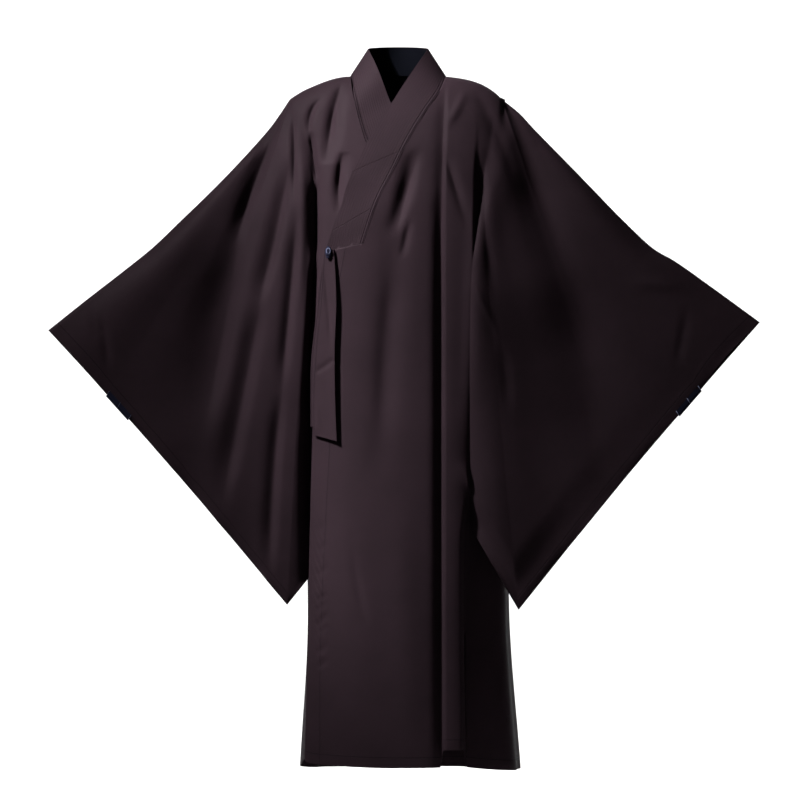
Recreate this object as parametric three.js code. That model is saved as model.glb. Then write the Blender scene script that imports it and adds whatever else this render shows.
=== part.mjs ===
// A Buddhist lay robe with wide sleeves, hollow as it is worn with the arms held out and down.
// Millimetres, +Z up. The front faces -Y, and the wearer's left is at +X.
// The origin is between the shoulders, where the wearer's neck and shoulders hold the robe up.
import * as THREE from "three";

// Driving dimensions
const WALL = 2; // cloth with its turned allowances
const SEAM_INSET = 0.47; // how far each piece stops short of a seam
const SHOULDER_TIP = 200; // from the middle to the top of the armhole
const SHOULDER_TIP_DROP = -37;
const NECK_CENTRE = 4;
const NECK_HALF = 90; // from the neck's middle to the neckband's seam at the shoulder
const NECK_SEAM_HEIGHT = 6;
const NAPE_RISE = 47;
const LAP_GAP = 10; // from the inner front to the front that laps over it
const SEWN_HALF_GAP = 1.4; // half the space between two layers at a sewn edge
const FULLNESS = 2.6; // how square the body's level section is
const TIE_WALL = 1.4;

// How many steps each seam has, the same on both pieces that it joins
const STEPS = {
  shoulder: 6,
  halfNeck: 5,
  lapBand: 8,
  underBand: 6,
  bandWidth: 3,
  armholeTop: 10,
  armholeSide: 11,
  sideSeam: 7,
  crest: 8,
};

// A smooth function through a table's rows, with no overshoot.
function through(rows, at, value) {
  const x = rows.map((row) => row[at]);
  const y = rows.map((row) => row[value]);
  const rise = x.slice(1).map((next, i) => (y[i + 1] - y[i]) / (next - x[i]));
  const slope = x.map((_, i) => {
    if (i === 0) return rise[0];
    if (i === x.length - 1) return rise[i - 1];
    if (rise[i - 1] * rise[i] <= 0) return 0;
    return (2 * rise[i - 1] * rise[i]) / (rise[i - 1] + rise[i]);
  });
  const way = Math.sign(x[1] - x[0]);
  return (place) => {
    if (way * (place - x[0]) <= 0) return y[0];
    if (way * (place - x.at(-1)) >= 0) return y.at(-1);
    let i = 0;
    while (way * (place - x[i + 1]) > 0) i += 1;
    const width = x[i + 1] - x[i];
    const t = (place - x[i]) / width;
    const s = 1 - t;
    return (
      y[i] * s * s * (1 + 2 * t) +
      y[i + 1] * t * t * (1 + 2 * s) +
      slope[i] * width * t * s * s -
      slope[i + 1] * width * t * t * s
    );
  };
}

const mix = THREE.MathUtils.lerp;
const clamp = THREE.MathUtils.clamp;
const smooth = (t) => THREE.MathUtils.smoothstep(t, 0, 1);
const bell = (t) => Math.exp(-t * t);

// The top of the shoulders, by distance from the middle
const SHOULDER_LINE = [
  { out: 0, left: 6, right: 6 },
  { out: 90, left: 6, right: 6 },
  { out: 112, left: 4, right: 3 },
  { out: 135, left: 0, right: -4 },
  { out: 155, left: -6, right: -12 },
  { out: 175, left: -16, right: -21 },
  { out: 190, left: -27, right: -30 },
  { out: 200, left: -37, right: -37 },
  { out: 240, left: -80, right: -80 },
];
const leftShoulder = through(SHOULDER_LINE, "out", "left");
const rightShoulder = through(SHOULDER_LINE, "out", "right");
const shoulderHeight = (x) => (x > 0 ? leftShoulder(x) : rightShoulder(-x));

// The hem's height across the front. The back's hem is level with it at the sides.
const HEM_LINE = [
  { x: -190, z: -1279 },
  { x: -150, z: -1288 },
  { x: 0, z: -1294 },
  { x: 120, z: -1293 },
  { x: 230, z: -1293 },
];
const hemHeight = through(HEM_LINE, "x", "z");
const SIDE_HEM = { left: 230, right: -180 };

// How far the cloth stands out in front and behind, by how far it has fallen from the shoulder line
const DRAPE = [
  { fall: 0, front: 0, back: 0 },
  { fall: 5, front: 19, back: 19 },
  { fall: 12, front: 30, back: 30 },
  { fall: 25, front: 43, back: 45 },
  { fall: 45, front: 56, back: 60 },
  { fall: 90, front: 75, back: 80 },
  { fall: 150, front: 94, back: 97 },
  { fall: 250, front: 110, back: 108 },
  { fall: 400, front: 117, back: 106 },
  { fall: 550, front: 120, back: 104 },
  { fall: 700, front: 126, back: 112 },
  { fall: 900, front: 134, back: 122 },
  { fall: 1100, front: 141, back: 133 },
  { fall: 1330, front: 150, back: 146 },
];
const frontDrape = through(DRAPE, "fall", "front");
const backDrape = through(DRAPE, "fall", "back");

// The body's level sections
const BODY = [
  { z: 10, middle: 4, half: 245 },
  { z: -120, middle: 4, half: 236 },
  { z: -220, middle: 4, half: 218 },
  { z: -340, middle: 6, half: 206 },
  { z: -550, middle: 12, half: 198 },
  { z: -840, middle: 24, half: 191 },
  { z: -1000, middle: 26, half: 190 },
  { z: -1300, middle: 29, half: 208 },
];
const middleAt = through(BODY, "z", "middle");
const halfAt = through(BODY, "z", "half");

// The long fold that falls from the neck to the hem on the wearer's left
const LONG_FOLD = [
  { z: 6, x: 94, valley: 0, ridge: 0 },
  { z: -60, x: 91, valley: 8, ridge: 0 },
  { z: -180, x: 87, valley: 12, ridge: 4 },
  { z: -330, x: 85, valley: 22, ridge: 9 },
  { z: -700, x: 85, valley: 26, ridge: 11 },
  { z: -1293, x: 86, valley: 24, ridge: 11 },
];
const longFoldX = through(LONG_FOLD, "z", "x");
const longFoldValley = through(LONG_FOLD, "z", "valley");
const longFoldRidge = through(LONG_FOLD, "z", "ridge");
const LONG_FOLD_SLOPE = 21; // the valley's gentle side
const LONG_FOLD_EDGE = 4; // its steep side, under the ridge's edge
const LONG_FOLD_RIDGE = { from: 16, reach: 17 };

// Shorter folds in the fronts: three points of each one's line, its depth and its half width
const FRONT_FOLDS = [
  { x0: 34, z0: -135, x1: 17, z1: -208, x2: -4, z2: -290, depth: 8, reach: 15 },
  { x0: 4, z0: -250, x1: -14, z1: -470, x2: -30, z2: -760, depth: 5, reach: 26 },
  { x0: -100, z0: -4, x1: -118, z1: -75, x2: -130, z2: -160, depth: 9, reach: 14 },
  { x0: -96, z0: -140, x1: -112, z1: -195, x2: -106, z2: -260, depth: 7, reach: 11 },
  { x0: 10, z0: -760, x1: 22, z1: -1000, x2: 30, z2: -1310, depth: -5, reach: 34 },
];

function foldDepth(folds, x, z) {
  let depth = 0;
  for (const fold of folds) {
    const t = clamp((fold.z0 - z) / (fold.z0 - fold.z2), 0, 1);
    const s = 1 - t;
    const line = fold.x0 * s * s + fold.x1 * 2 * s * t + fold.x2 * t * t;
    depth += fold.depth * bell((x - line) / fold.reach) * Math.sin(Math.PI * t) ** 0.6;
  }
  return depth;
}

function longFold(x, z) {
  const off = x - longFoldX(z);
  const side = off < 0 ? LONG_FOLD_SLOPE : LONG_FOLD_EDGE;
  const ridge = bell((off - LONG_FOLD_RIDGE.from) / LONG_FOLD_RIDGE.reach);
  return longFoldValley(z) * bell(off / side) - longFoldRidge(z) * (off > 0 ? ridge : 0);
}

// How far forward the fronts stand at a place seen from in front, before their folds
const FRONT_SQUARENESS = 14;
function frontStand(x, z) {
  const fall = Math.max(0, shoulderHeight(x) - z);
  const across = clamp(Math.abs(x - middleAt(z)) / (halfAt(z) + FRONT_SQUARENESS), 0, 1);
  return frontDrape(fall) * (1 - across ** FULLNESS) ** (1 / FULLNESS);
}

const GAP_GROWS = 60; // how far below the shoulder the lap has its full gap
const FOLDS_GROW = 40;
function frontPoint(x, z, gap = 0) {
  const fall = Math.max(0, shoulderHeight(x) - z);
  const folds = foldDepth(FRONT_FOLDS, x, z) + longFold(x, z);
  const lap = gap * clamp(fall / GAP_GROWS, 0, 1);
  return new THREE.Vector3(x, -frontStand(x, z) - lap + folds * smooth(fall / FOLDS_GROW), z);
}

// The body's section as an angle: 0 at the side, 90 at the middle of the back, below 0 in front
function bodyPoint(side, degrees, level, z) {
  const angle = THREE.MathUtils.degToRad(degrees);
  const power = 2 / FULLNESS;
  const x = middleAt(level) + side * halfAt(level) * Math.abs(Math.cos(angle)) ** power;
  const across = clamp(1 - ((x - NECK_CENTRE) / NECK_HALF) ** 2, 0, 1);
  const fall = Math.max(0, shoulderHeight(x) + NAPE_RISE * Math.sqrt(across) - z);
  const stand = Math.abs(Math.sin(angle)) ** power;
  const y = degrees > 0 ? backDrape(fall) * stand : -frontDrape(fall) * stand;
  return new THREE.Vector3(x, y, z);
}
const angleAt = (x, side) => {
  const across = clamp((side * (x - middleAt(0))) / halfAt(0), 0, 1);
  return THREE.MathUtils.radToDeg(Math.acos(across ** (FULLNESS / 2)));
};

// Where each sleeve is set in. The underarm is the point where armhole, side seam and sleeve seam meet.
const SLEEVES = {
  left: {
    side: 1,
    front: [
      { x: 200, z: -37, set: 0 },
      { x: 187, z: -75, set: 2 },
      { x: 176, z: -120, set: 5 },
      { x: 163, z: -190, set: 10 },
      { x: 150, z: -280, set: 15 },
      { x: 140, z: -400, set: 15 },
      { x: 136, z: -560, set: 11 },
      { x: 134, z: -720, set: 5 },
      { x: 134, z: -841, set: 0 },
    ],
    back: [
      { z: -37, angle: 38 },
      { z: -120, angle: 36 },
      { z: -220, angle: 33 },
      { z: -340, angle: 29 },
      { z: -550, angle: 14 },
      { z: -700, angle: -16 },
      { z: -800, angle: -50 },
      { z: -841, angle: -59 },
      { z: -1293, angle: -57 },
    ],
    armTop: [
      { x: 200, y: 0, z: -37 },
      { x: 232, y: -6, z: -63 },
      { x: 259, y: -12, z: -92 },
      { x: 346, y: -28, z: -182 },
      { x: 434, y: -42, z: -273 },
      { x: 486, y: -50, z: -321 },
      { x: 525, y: -56, z: -344 },
      { x: 605, y: -66, z: -401 },
      { x: 684, y: -76, z: -459 },
    ],
    corner: { x: 230, y: -124, z: -998 },
    hollow: 4,
    mouth: { front: 13, back: 7, tuck: 7 },
  },
  right: {
    side: -1,
    front: [
      { x: -200, z: -37, set: 0 },
      { x: -184, z: -75, set: 2 },
      { x: -170, z: -120, set: 6 },
      { x: -156, z: -190, set: 12 },
      { x: -150, z: -280, set: 16 },
      { x: -155, z: -400, set: 14 },
      { x: -162, z: -560, set: 8 },
      { x: -166, z: -740, set: 3 },
      { x: -166, z: -935, set: 0 },
    ],
    back: [
      { z: -37, angle: 38 },
      { z: -120, angle: 36 },
      { z: -220, angle: 33 },
      { z: -340, angle: 30 },
      { z: -550, angle: 20 },
      { z: -750, angle: 4 },
      { z: -935, angle: -14 },
      { z: -1293, angle: -15 },
    ],
    armTop: [
      { x: -200, y: 0, z: -37 },
      { x: -220, y: -5, z: -67 },
      { x: -239, y: -9, z: -93 },
      { x: -320, y: -24, z: -183 },
      { x: -411, y: -40, z: -273 },
      { x: -459, y: -48, z: -319 },
      { x: -516, y: -55, z: -365 },
      { x: -584, y: -62, z: -418 },
      { x: -654, y: -68, z: -474 },
    ],
    corner: { x: -205, y: -72, z: -990 },
    hollow: 4,
    mouth: { front: 11, back: 9, tuck: 3 },
  },
};

// A sleeve's layers fan out in rays from the shoulder tip to the cuff and the sleeve's lower corner.
// "along" runs from 0 at the wrist, by 1 at the corner, to 2 at the underarm; folds go in where they are above 0.
const RAYS = {
  left: [
    { along: 0, front: 0, back: 0 },
    { along: 0.06, front: 0, back: 0 },
    { along: 0.12, front: 0, back: 2 },
    { along: 0.18, front: 5, back: 6 },
    { along: 0.24, front: 7, back: 2 },
    { along: 0.33, front: -3, back: -8 },
    { along: 0.39, front: -9, back: -4 },
    { along: 0.45, front: -11, back: 10 },
    { along: 0.51, front: -9, back: 12 },
    { along: 0.57, front: -4, back: -3 },
    { along: 0.64, front: 6, back: -14 },
    { along: 0.71, front: 13, back: -6 },
    { along: 0.78, front: 8, back: 12 },
    { along: 0.85, front: -7, back: 14 },
    { along: 0.92, front: -12, back: -4 },
    { along: 1, front: -4, back: -12 },
    { along: 1.34, front: 9, back: -4 },
    { along: 1.67, front: 4, back: 2 },
    { along: 2, front: 0, back: 0 },
  ],
  right: [
    { along: 0, front: 0, back: 0 },
    { along: 0.06, front: 0, back: 0 },
    { along: 0.12, front: -1, back: 3 },
    { along: 0.18, front: 2, back: 2 },
    { along: 0.24, front: 3, back: -2 },
    { along: 0.33, front: -5, back: 4 },
    { along: 0.39, front: -3, back: 3 },
    { along: 0.45, front: 13, back: -9 },
    { along: 0.51, front: 9, back: -8 },
    { along: 0.57, front: -12, back: 9 },
    { along: 0.64, front: 5, back: -2 },
    { along: 0.71, front: 15, back: -11 },
    { along: 0.78, front: -8, back: 6 },
    { along: 0.85, front: -10, back: 8 },
    { along: 0.92, front: 12, back: -9 },
    { along: 1, front: -6, back: 5 },
    { along: 1.34, front: -9, back: 6 },
    { along: 1.67, front: -3, back: 2 },
    { along: 2, front: 0, back: 0 },
  ],
};
const MOUTH_RAYS = 4; // the cuff is open as far as this ray, and sewn shut below it
const ARM_ROOM = 44; // how far the upper arm holds each layer out
const WRIST_ROOM = 20;
const CREST_REACH = 160; // how much of the arm's line the upper rays start from
const LOWER_SEAM_BOW = 12; // how far its lower seam stands in front of a straight line
const FAR_WAVE = 0.3; // how much of the folds is left at the sewn edge

const curve = (rows) =>
  new THREE.CatmullRomCurve3(
    rows.map((row) => new THREE.Vector3(row.x, row.y, row.z)),
    false,
    "centripetal",
  );
// Evenly spaced shares from 0 to 1
const shares = (steps) => Array.from({ length: steps + 1 }, (_, i) => i / steps);

// Heights down the side of each half of the robe: armhole first, then side seam
const ARMHOLE_TOP_END = -250;
const sideHem = (sleeve) => hemHeight(sleeve.side > 0 ? SIDE_HEM.left : SIDE_HEM.right);
function sideHeights(sleeve) {
  const underarm = sleeve.front.at(-1).z;
  const top = shares(STEPS.armholeTop).map((t) => mix(SHOULDER_TIP_DROP, ARMHOLE_TOP_END, t));
  const low = shares(STEPS.armholeSide).map((t) => mix(ARMHOLE_TOP_END, underarm, t));
  const seam = shares(STEPS.sideSeam).map((t) => mix(underarm, sideHem(sleeve), t));
  return [...top, ...low.slice(1), ...seam.slice(1)];
}
const ARMHOLE_STEPS = STEPS.armholeTop + STEPS.armholeSide;
// How far down the side each of those heights is, from 0 to 1
const sideShares = (sleeve) =>
  sideHeights(sleeve).map((z) => (SHOULDER_TIP_DROP - z) / (SHOULDER_TIP_DROP - sideHem(sleeve)));

// The seam round the back of each half, on the back panel's own surface
function backEdge(sleeve) {
  const angle = through(sleeve.back, "z", "angle");
  return sideHeights(sleeve).map((z) => bodyPoint(sleeve.side, angle(z), z, z));
}

// The front armhole, and below it the side seam that the back shares
function frontEdge(sleeve, gap) {
  const x = through(sleeve.front, "z", "x");
  const set = through(sleeve.front, "z", "set");
  const back = backEdge(sleeve);
  const underarm = back[ARMHOLE_STEPS];
  return sideHeights(sleeve).map((z, i) => {
    if (i >= ARMHOLE_STEPS) return back[i].clone();
    const joins = smooth((i - STEPS.armholeTop) / STEPS.armholeSide);
    const point = frontPoint(x(z), z, gap);
    point.x += (underarm.x - x(underarm.z)) * joins;
    point.y += set(z) + (underarm.y - frontPoint(x(underarm.z), underarm.z, gap).y) * joins;
    return point;
  });
}

// The shoulder seam, from the neck to the tip
function shoulderSeam(side) {
  const neck = NECK_CENTRE + side * NECK_HALF;
  return shares(STEPS.shoulder).map((t) => {
    const x = mix(neck, side * SHOULDER_TIP, t);
    return new THREE.Vector3(x, 0, shoulderHeight(x));
  });
}

// The neckband's seam and its free edge. "up" runs from the lapped end by the two shoulders to the hidden end.
const LAP_SEAM = [
  { x: -61, z: -310 },
  { x: -34, z: -231 },
  { x: -4, z: -172 },
  { x: 19, z: -125 },
  { x: 41, z: -86 },
  { x: 60, z: -56 },
  { x: 81, z: -25 },
  { x: 94, z: 6 },
];
const LAP_EDGE = [
  { x: -132, z: -325 },
  { x: -122, z: -290 },
  { x: -105, z: -245 },
  { x: -87, z: -187 },
  { x: -62, z: -132 },
  { x: -36, z: -90 },
  { x: -9, z: -47 },
  { x: 26, z: 8 },
];
const UNDER_SEAM = [
  { x: -86, z: 6 },
  { x: -79, z: -38 },
  { x: -68, z: -85 },
  { x: -49, z: -142 },
  { x: -20, z: -205 },
  { x: 10, z: -262 },
];
const UNDER_EDGE = [
  { x: -34, z: 19 },
  { x: -11, z: -43 },
  { x: 12, z: -95 },
  { x: 40, z: -155 },
  { x: 66, z: -215 },
];
const BAND_TOP_HALF = 56;
const BAND_TOP_HEIGHT = 58;
const BAND_BACK_HEIGHT = 64;
const BAND_BACK_STAND = 50;
const BAND_TOP_STAND = { lap: -46, under: -38 }; // where each end of the edge leaves the neck's side
const NAPE_SEAM_RISE = 4;

const onFront = (rows, gap) => rows.map((row) => frontPoint(row.x, row.z, gap));
const evenly = (points, steps) => {
  const line = new THREE.CatmullRomCurve3(points, false, "centripetal");
  return shares(steps).map((t) => line.getPointAt(t));
};
function lapSeam() {
  const points = onFront(LAP_SEAM, LAP_GAP);
  points[points.length - 1] = shoulderSeam(1)[0];
  return evenly(points, STEPS.lapBand);
}
function underSeam() {
  const points = onFront(UNDER_SEAM, 0);
  points[0] = shoulderSeam(-1)[0];
  return evenly(points, STEPS.underBand);
}
function backNeck(side) {
  return shares(STEPS.halfNeck).map((t) => {
    const turn = (t * Math.PI) / 2;
    const x = NECK_CENTRE + side * NECK_HALF * Math.sin(turn);
    const z = NECK_SEAM_HEIGHT + NAPE_SEAM_RISE * Math.cos(turn);
    if (t === 1) return shoulderSeam(side)[0];
    return bodyPoint(side, angleAt(x, side), 0, z).setX(x);
  });
}

// Pieces of cloth, as middle surfaces: points and triangles
function patch(points, [a, b, c, d], turned) {
  const short = points[a].distanceTo(points[c]) < points[b].distanceTo(points[d]);
  const pair = short
    ? [
        [a, b, c],
        [a, c, d],
      ]
    : [
        [a, b, d],
        [b, c, d],
      ];
  return turned ? pair.map((face) => face.reverse()) : pair;
}
function sheetFrom(rows, turned = false) {
  const points = rows.flat();
  const width = rows[0].length;
  const faces = [];
  for (let j = 0; j + 1 < rows.length; j += 1)
    for (let i = 0; i + 1 < width; i += 1) {
      const a = j * width + i;
      faces.push(...patch(points, [a, a + 1, a + width + 1, a + width], turned));
    }
  return { points, faces };
}

// The lapped front: from its free edge, by the end of the neckband, to the wearer's left side
const LAP_HEM = [-172, -152, -130, -105, -80, -54, -28, -2, 24, 48, 68, 86, 90, 99, 110, 120, 129, 136];
const LAP_FREE_EDGE = [
  { z: -325, x: -132 },
  { z: -420, x: -147 },
  { z: -680, x: -157 },
  { z: -960, x: -164 },
  { z: -1300, x: -171 },
];
const HEM_LIFT = { height: 33, from: 84, rise: 6, to: 137, drop: 8 }; // the hem is shorter beside the long fold
const COLUMNS_SETTLE = 2.5; // the columns spread from the neck's widths to the hem's in 1 / this of the height
const SIDE_TURN = 3;
function lappedFront() {
  const end = bandEnd();
  const top = [...end, ...lapSeam().slice(1), ...shoulderSeam(1).slice(1)];
  const neckColumn = STEPS.bandWidth + STEPS.lapBand;
  const side = frontEdge(SLEEVES.left, LAP_GAP);
  const freeX = through(LAP_FREE_EDGE, "z", "x");
  const downs = sideShares(SLEEVES.left);
  const last = top.length - 1;
  const rows = side.map((edge, j) => {
    const down = downs[j];
    return top.map((start, i) => {
      if (j === 0) return start;
      if (i === last) return edge;
      const hemX = LAP_HEM[i];
      const rise = smooth((hemX - HEM_LIFT.from) / HEM_LIFT.rise);
      const lift = HEM_LIFT.height * rise * smooth((HEM_LIFT.to - hemX) / HEM_LIFT.drop);
      const foot = hemHeight(hemX) + lift;
      const z = mix(start.z, foot, down);
      const turn = longFoldX(z);
      const settle = smooth(down * COLUMNS_SETTLE);
      if (i <= neckColumn) {
        const free = freeX(z);
        const atTop = (start.x - end[0].x) / (top[neckColumn].x - end[0].x);
        const atHem = (hemX - LAP_HEM[0]) / (LAP_HEM[neckColumn] - LAP_HEM[0]);
        return frontPoint(mix(free, turn, mix(atTop, atHem, settle)), z, LAP_GAP);
      }
      const atTop = (i - neckColumn) / STEPS.shoulder;
      const atHem = (hemX - LAP_HEM[neckColumn]) / (LAP_HEM[last] - LAP_HEM[neckColumn]);
      const share = mix(atTop, atHem, settle);
      const point = frontPoint(mix(turn, edge.x, share), z, LAP_GAP);
      point.y += (edge.y - frontPoint(edge.x, edge.z, LAP_GAP).y) * share ** SIDE_TURN;
      return point;
    });
  });
  return sheetFrom(rows, true);
}

// The front under the lap: from the wearer's right side to a plain free edge
const UNDER_HEM = [-176, -166, -154, -140, -124, -106, -86, -66, -42, -16, 8, 28, 44];
const UNDER_FREE_EDGE = [
  { z: -262, x: 10 },
  { z: -500, x: 34 },
  { z: -1300, x: 44 },
];
function underFront() {
  const top = [...shoulderSeam(-1).reverse(), ...underSeam().slice(1)];
  const side = frontEdge(SLEEVES.right, 0);
  const freeX = through(UNDER_FREE_EDGE, "z", "x");
  const neckX = top[STEPS.shoulder].x;
  const downs = sideShares(SLEEVES.right);
  const rows = side.map((edge, j) => {
    const down = downs[j];
    return top.map((start, i) => {
      if (j === 0) return start;
      if (i === 0) return edge;
      const z = mix(start.z, hemHeight(UNDER_HEM[i]), down);
      const settle = smooth(down * COLUMNS_SETTLE);
      if (i <= STEPS.shoulder) {
        const atTop = i / STEPS.shoulder;
        const atHem = (UNDER_HEM[i] - UNDER_HEM[0]) / (UNDER_HEM[STEPS.shoulder] - UNDER_HEM[0]);
        const share = mix(atTop, atHem, settle);
        const point = frontPoint(mix(edge.x, neckX, share), z);
        point.y += (edge.y - frontPoint(edge.x, edge.z).y) * (1 - share) ** SIDE_TURN;
        return point;
      }
      const lastX = top.at(-1).x;
      const atTop = (start.x - neckX) / (lastX - neckX);
      const atHem = (UNDER_HEM[i] - neckX) / (UNDER_HEM.at(-1) - neckX);
      return frontPoint(mix(neckX, freeX(z), mix(atTop, atHem, settle)), z);
    });
  });
  return sheetFrom(rows, true);
}

// A back half: from the middle seam round to its side. The folds fade out at both seams.
const BACK_FOLDS = [
  { share: 0.2, depth: 7, reach: 0.09 },
  { share: 0.42, depth: -9, reach: 0.1 },
  { share: 0.6, depth: 10, reach: 0.09 },
  { share: 0.8, depth: -3, reach: 0.08 },
];
const BACK_FOLDS_START = 0.16;
const BACK_FOLDS_GROW = 2.4;
const BACK_SEAM_CLEAR = 6; // 1 / this of each half's width, next to the middle seam, in which the folds fade
const BACK_SETTLE = 5;
const BACK_HEM = -1288;
function backHalf(name) {
  const sleeve = SLEEVES[name];
  const angle = through(sleeve.back, "z", "angle");
  const top = [...backNeck(sleeve.side), ...shoulderSeam(sleeve.side).slice(1)];
  const last = top.length - 1;
  const heights = sideHeights(sleeve);
  const own = sideShares(sleeve);
  const other = sideShares(SLEEVES[name === "left" ? "right" : "left"]);
  const rows = heights.map((sideHeight, j) => {
    return top.map((start, i) => {
      if (j === 0) return start;
      const share = i / last;
      const down = mix((own[j] + other[j]) / 2, own[j], share);
      const hem = mix(BACK_HEM, sideHem(sleeve), share ** 2);
      const z = mix(start.z, hem, down);
      const level = mix(SHOULDER_TIP_DROP, hem, down);
      const atTop = angleAt(start.x, sleeve.side);
      const turned = mix(90, angle(sideHeight), share);
      const flatter = mix(atTop, turned, smooth(down * BACK_SETTLE));
      const point = bodyPoint(sleeve.side, i === last ? angle(sideHeight) : flatter, level, z);
      if (i === last) return bodyPoint(sleeve.side, angle(sideHeight), sideHeight, sideHeight);
      const grown = smooth((down - BACK_FOLDS_START) * BACK_FOLDS_GROW);
      let depth = 0;
      for (const fold of BACK_FOLDS) depth += fold.depth * bell((share - fold.share) / fold.reach);
      const inward = new THREE.Vector3(middleAt(level) - point.x, -point.y, 0).normalize();
      return point.addScaledVector(inward, depth * grown * Math.min(1, BACK_SEAM_CLEAR * share));
    });
  });
  return sheetFrom(rows, name === "right");
}

// The back layer keeps clear of the body where it passes round it.
const BODY_CLEARANCE = 14;
const LEAST_FALL = 20;
function keepOffBody(point, share) {
  const middle = middleAt(point.z);
  const fall = Math.max(LEAST_FALL, shoulderHeight(point.x) - point.z);
  const stand = point.y > 0 ? backDrape(fall) : frontDrape(fall);
  const across = Math.abs((point.x - middle) / halfAt(point.z)) ** FULLNESS;
  const size = (across + Math.abs(point.y / stand) ** FULLNESS) ** (1 / FULLNESS);
  const wanted = 1 + (BODY_CLEARANCE * share) / Math.hypot(point.x - middle, point.y);
  if (size >= wanted) return;
  point.x = middle + ((point.x - middle) * wanted) / size;
  point.y *= wanted / size;
}

const TIP_STOP = 3; // how far from the shoulder tip a sleeve's layers start
const UNDERARM_CLEAR = 0.2;
const UNDERARM_STOP = 0.05; // the share of the last step by which a sleeve stops short of the underarm
// Two layers never come nearer than this, and never cross.
const LAYER_GAP = 4.4;
const LAYER_EASE = { soft: 3, reach: 12 };
function keepApart(front, back, least) {
  const gap = back.y - front.y;
  const near = gap - least <= LAYER_EASE.reach;
  const more = near ? Math.log1p(Math.exp((least - gap) / LAYER_EASE.soft)) * LAYER_EASE.soft : 0;
  front.y -= more / 2;
  back.y += more / 2;
}

const CREST_ROUND = { rays: 3, start: 0.12 }; // how soon a layer leaves the arm's line, which rounds it over the arm
const ROOM_SHAPE = { start: 0.12, power: 0.6 };
const ROOM_FADE = 0.6;
const FOLD_SHAPE = 0.55;
const CLEARANCE_EASE = 1.4; // rays and steps in which the clearance from the body grows

// A sleeve: a front and a back layer that run into each other over the arm, open at the armhole and the
// upper part of the cuff, and sewn together along the rest of the cuff and the lower seam.
function sleeveLayers(name) {
  const sleeve = SLEEVES[name];
  const rays = RAYS[name];
  const last = rays.length - 1;
  const steps = STEPS.armholeSide;
  const arm = curve(sleeve.armTop);
  const wrist = arm.getPoint(1);
  const corner = new THREE.Vector3(sleeve.corner.x, sleeve.corner.y, sleeve.corner.z);
  const crestEnd = CREST_REACH / arm.getLength();
  const crestStart = arm.getPointAt(crestEnd);
  const edges = { front: frontEdge(sleeve, sleeve.side > 0 ? LAP_GAP : 0), back: backEdge(sleeve) };
  const underarm = edges.back[ARMHOLE_STEPS];

  const farPoint = (m, way) => {
    const { along, front, back } = rays[m];
    const far =
      along <= 1 ? wrist.clone().lerp(corner, along) : corner.clone().lerp(underarm, along - 1);
    const hollow = Math.sin(Math.PI * Math.min(1, along)) * sleeve.hollow;
    far.x -= sleeve.side * hollow;
    far.z += hollow;
    far.y -= (front - back) * FAR_WAVE;
    if (along > 1) far.y -= LOWER_SEAM_BOW * Math.sin(Math.PI * (along - 1));
    far.y += SEWN_HALF_GAP * way;
    if (m < MOUTH_RAYS) {
      const open = Math.sin((Math.PI * m) / MOUTH_RAYS);
      far.y += way * open * (way < 0 ? sleeve.mouth.front : sleeve.mouth.back);
      if (way < 0) far.x -= sleeve.side * open * sleeve.mouth.tuck;
    }
    return far;
  };
  const layerPoint = (m, r, way) => {
    const edge = way < 0 ? edges.front : edges.back;
    const t = r / steps;
    if (m === last && r === steps) return underarm.clone().lerp(edge[ARMHOLE_STEPS - 1], UNDERARM_STOP);
    if (m === last) return edge[STEPS.armholeTop + r].clone();
    if (m === STEPS.crest && r === 0) return arm.getPointAt(TIP_STOP / arm.getLength());
    if (r === 0 && m >= STEPS.crest) return edge[m - STEPS.crest].clone();
    const crestPoint = arm.getPointAt(mix(crestEnd, 1, t));
    if (m === 0) return crestPoint;
    const near = arm.getPointAt(mix(crestEnd, 0, Math.min(1, m / STEPS.crest)));
    if (r === 0) return near;
    if (m > STEPS.crest) near.copy(edge[m - STEPS.crest]);
    const point = near.lerp(farPoint(m, way), t);
    // Rays bow towards the two at the sides: the arm's line above and the armhole's below.
    const share = m / last;
    const start = edge[STEPS.armholeTop];
    const crestBow = crestPoint.sub(crestStart.clone().lerp(wrist, t));
    const edgeBow = edge[STEPS.armholeTop + r].clone().sub(start.clone().lerp(underarm, t));
    point.addScaledVector(crestBow, (1 - share) ** 2).addScaledVector(edgeBow, share ** 2);
    const off = Math.min(1, (m < STEPS.crest ? m * (t + CREST_ROUND.start) : m) / CREST_ROUND.rays);
    const round = Math.sqrt(1 - (1 - off) ** 2);
    const full = Math.sin(Math.PI * mix(ROOM_SHAPE.start, 1, t)) ** ROOM_SHAPE.power;
    const hold = mix(ARM_ROOM, WRIST_ROOM, t) * full * round * (1 - share) ** ROOM_FADE;
    const fold = rays[m][way < 0 ? "front" : "back"] * Math.sin(Math.PI * t) ** FOLD_SHAPE;
    point.y += way * (hold - fold * round);
    return point;
  };
  return (m, r) => {
    const front = layerPoint(m, r, -1);
    const back = layerPoint(m, r, 1);
    if (m === last && r === steps) {
      const seam = rays[last - 1].along - 1;
      const toward = corner.clone().lerp(underarm, seam);
      front.lerp(toward, UNDERARM_CLEAR);
      back.lerp(toward, UNDERARM_CLEAR);
      front.y -= 2 * SEWN_HALF_GAP;
    }
    if (m === 0 || m === last || r === 0) return { front, back };
    if (r < steps) {
      const inner = clamp((last - m) / CLEARANCE_EASE, 0, 1) * clamp(r / CLEARANCE_EASE, 0, 1);
      keepOffBody(back, inner);
      keepApart(front, back, LAYER_GAP);
    }
    return { front, back };
  };
}

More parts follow.
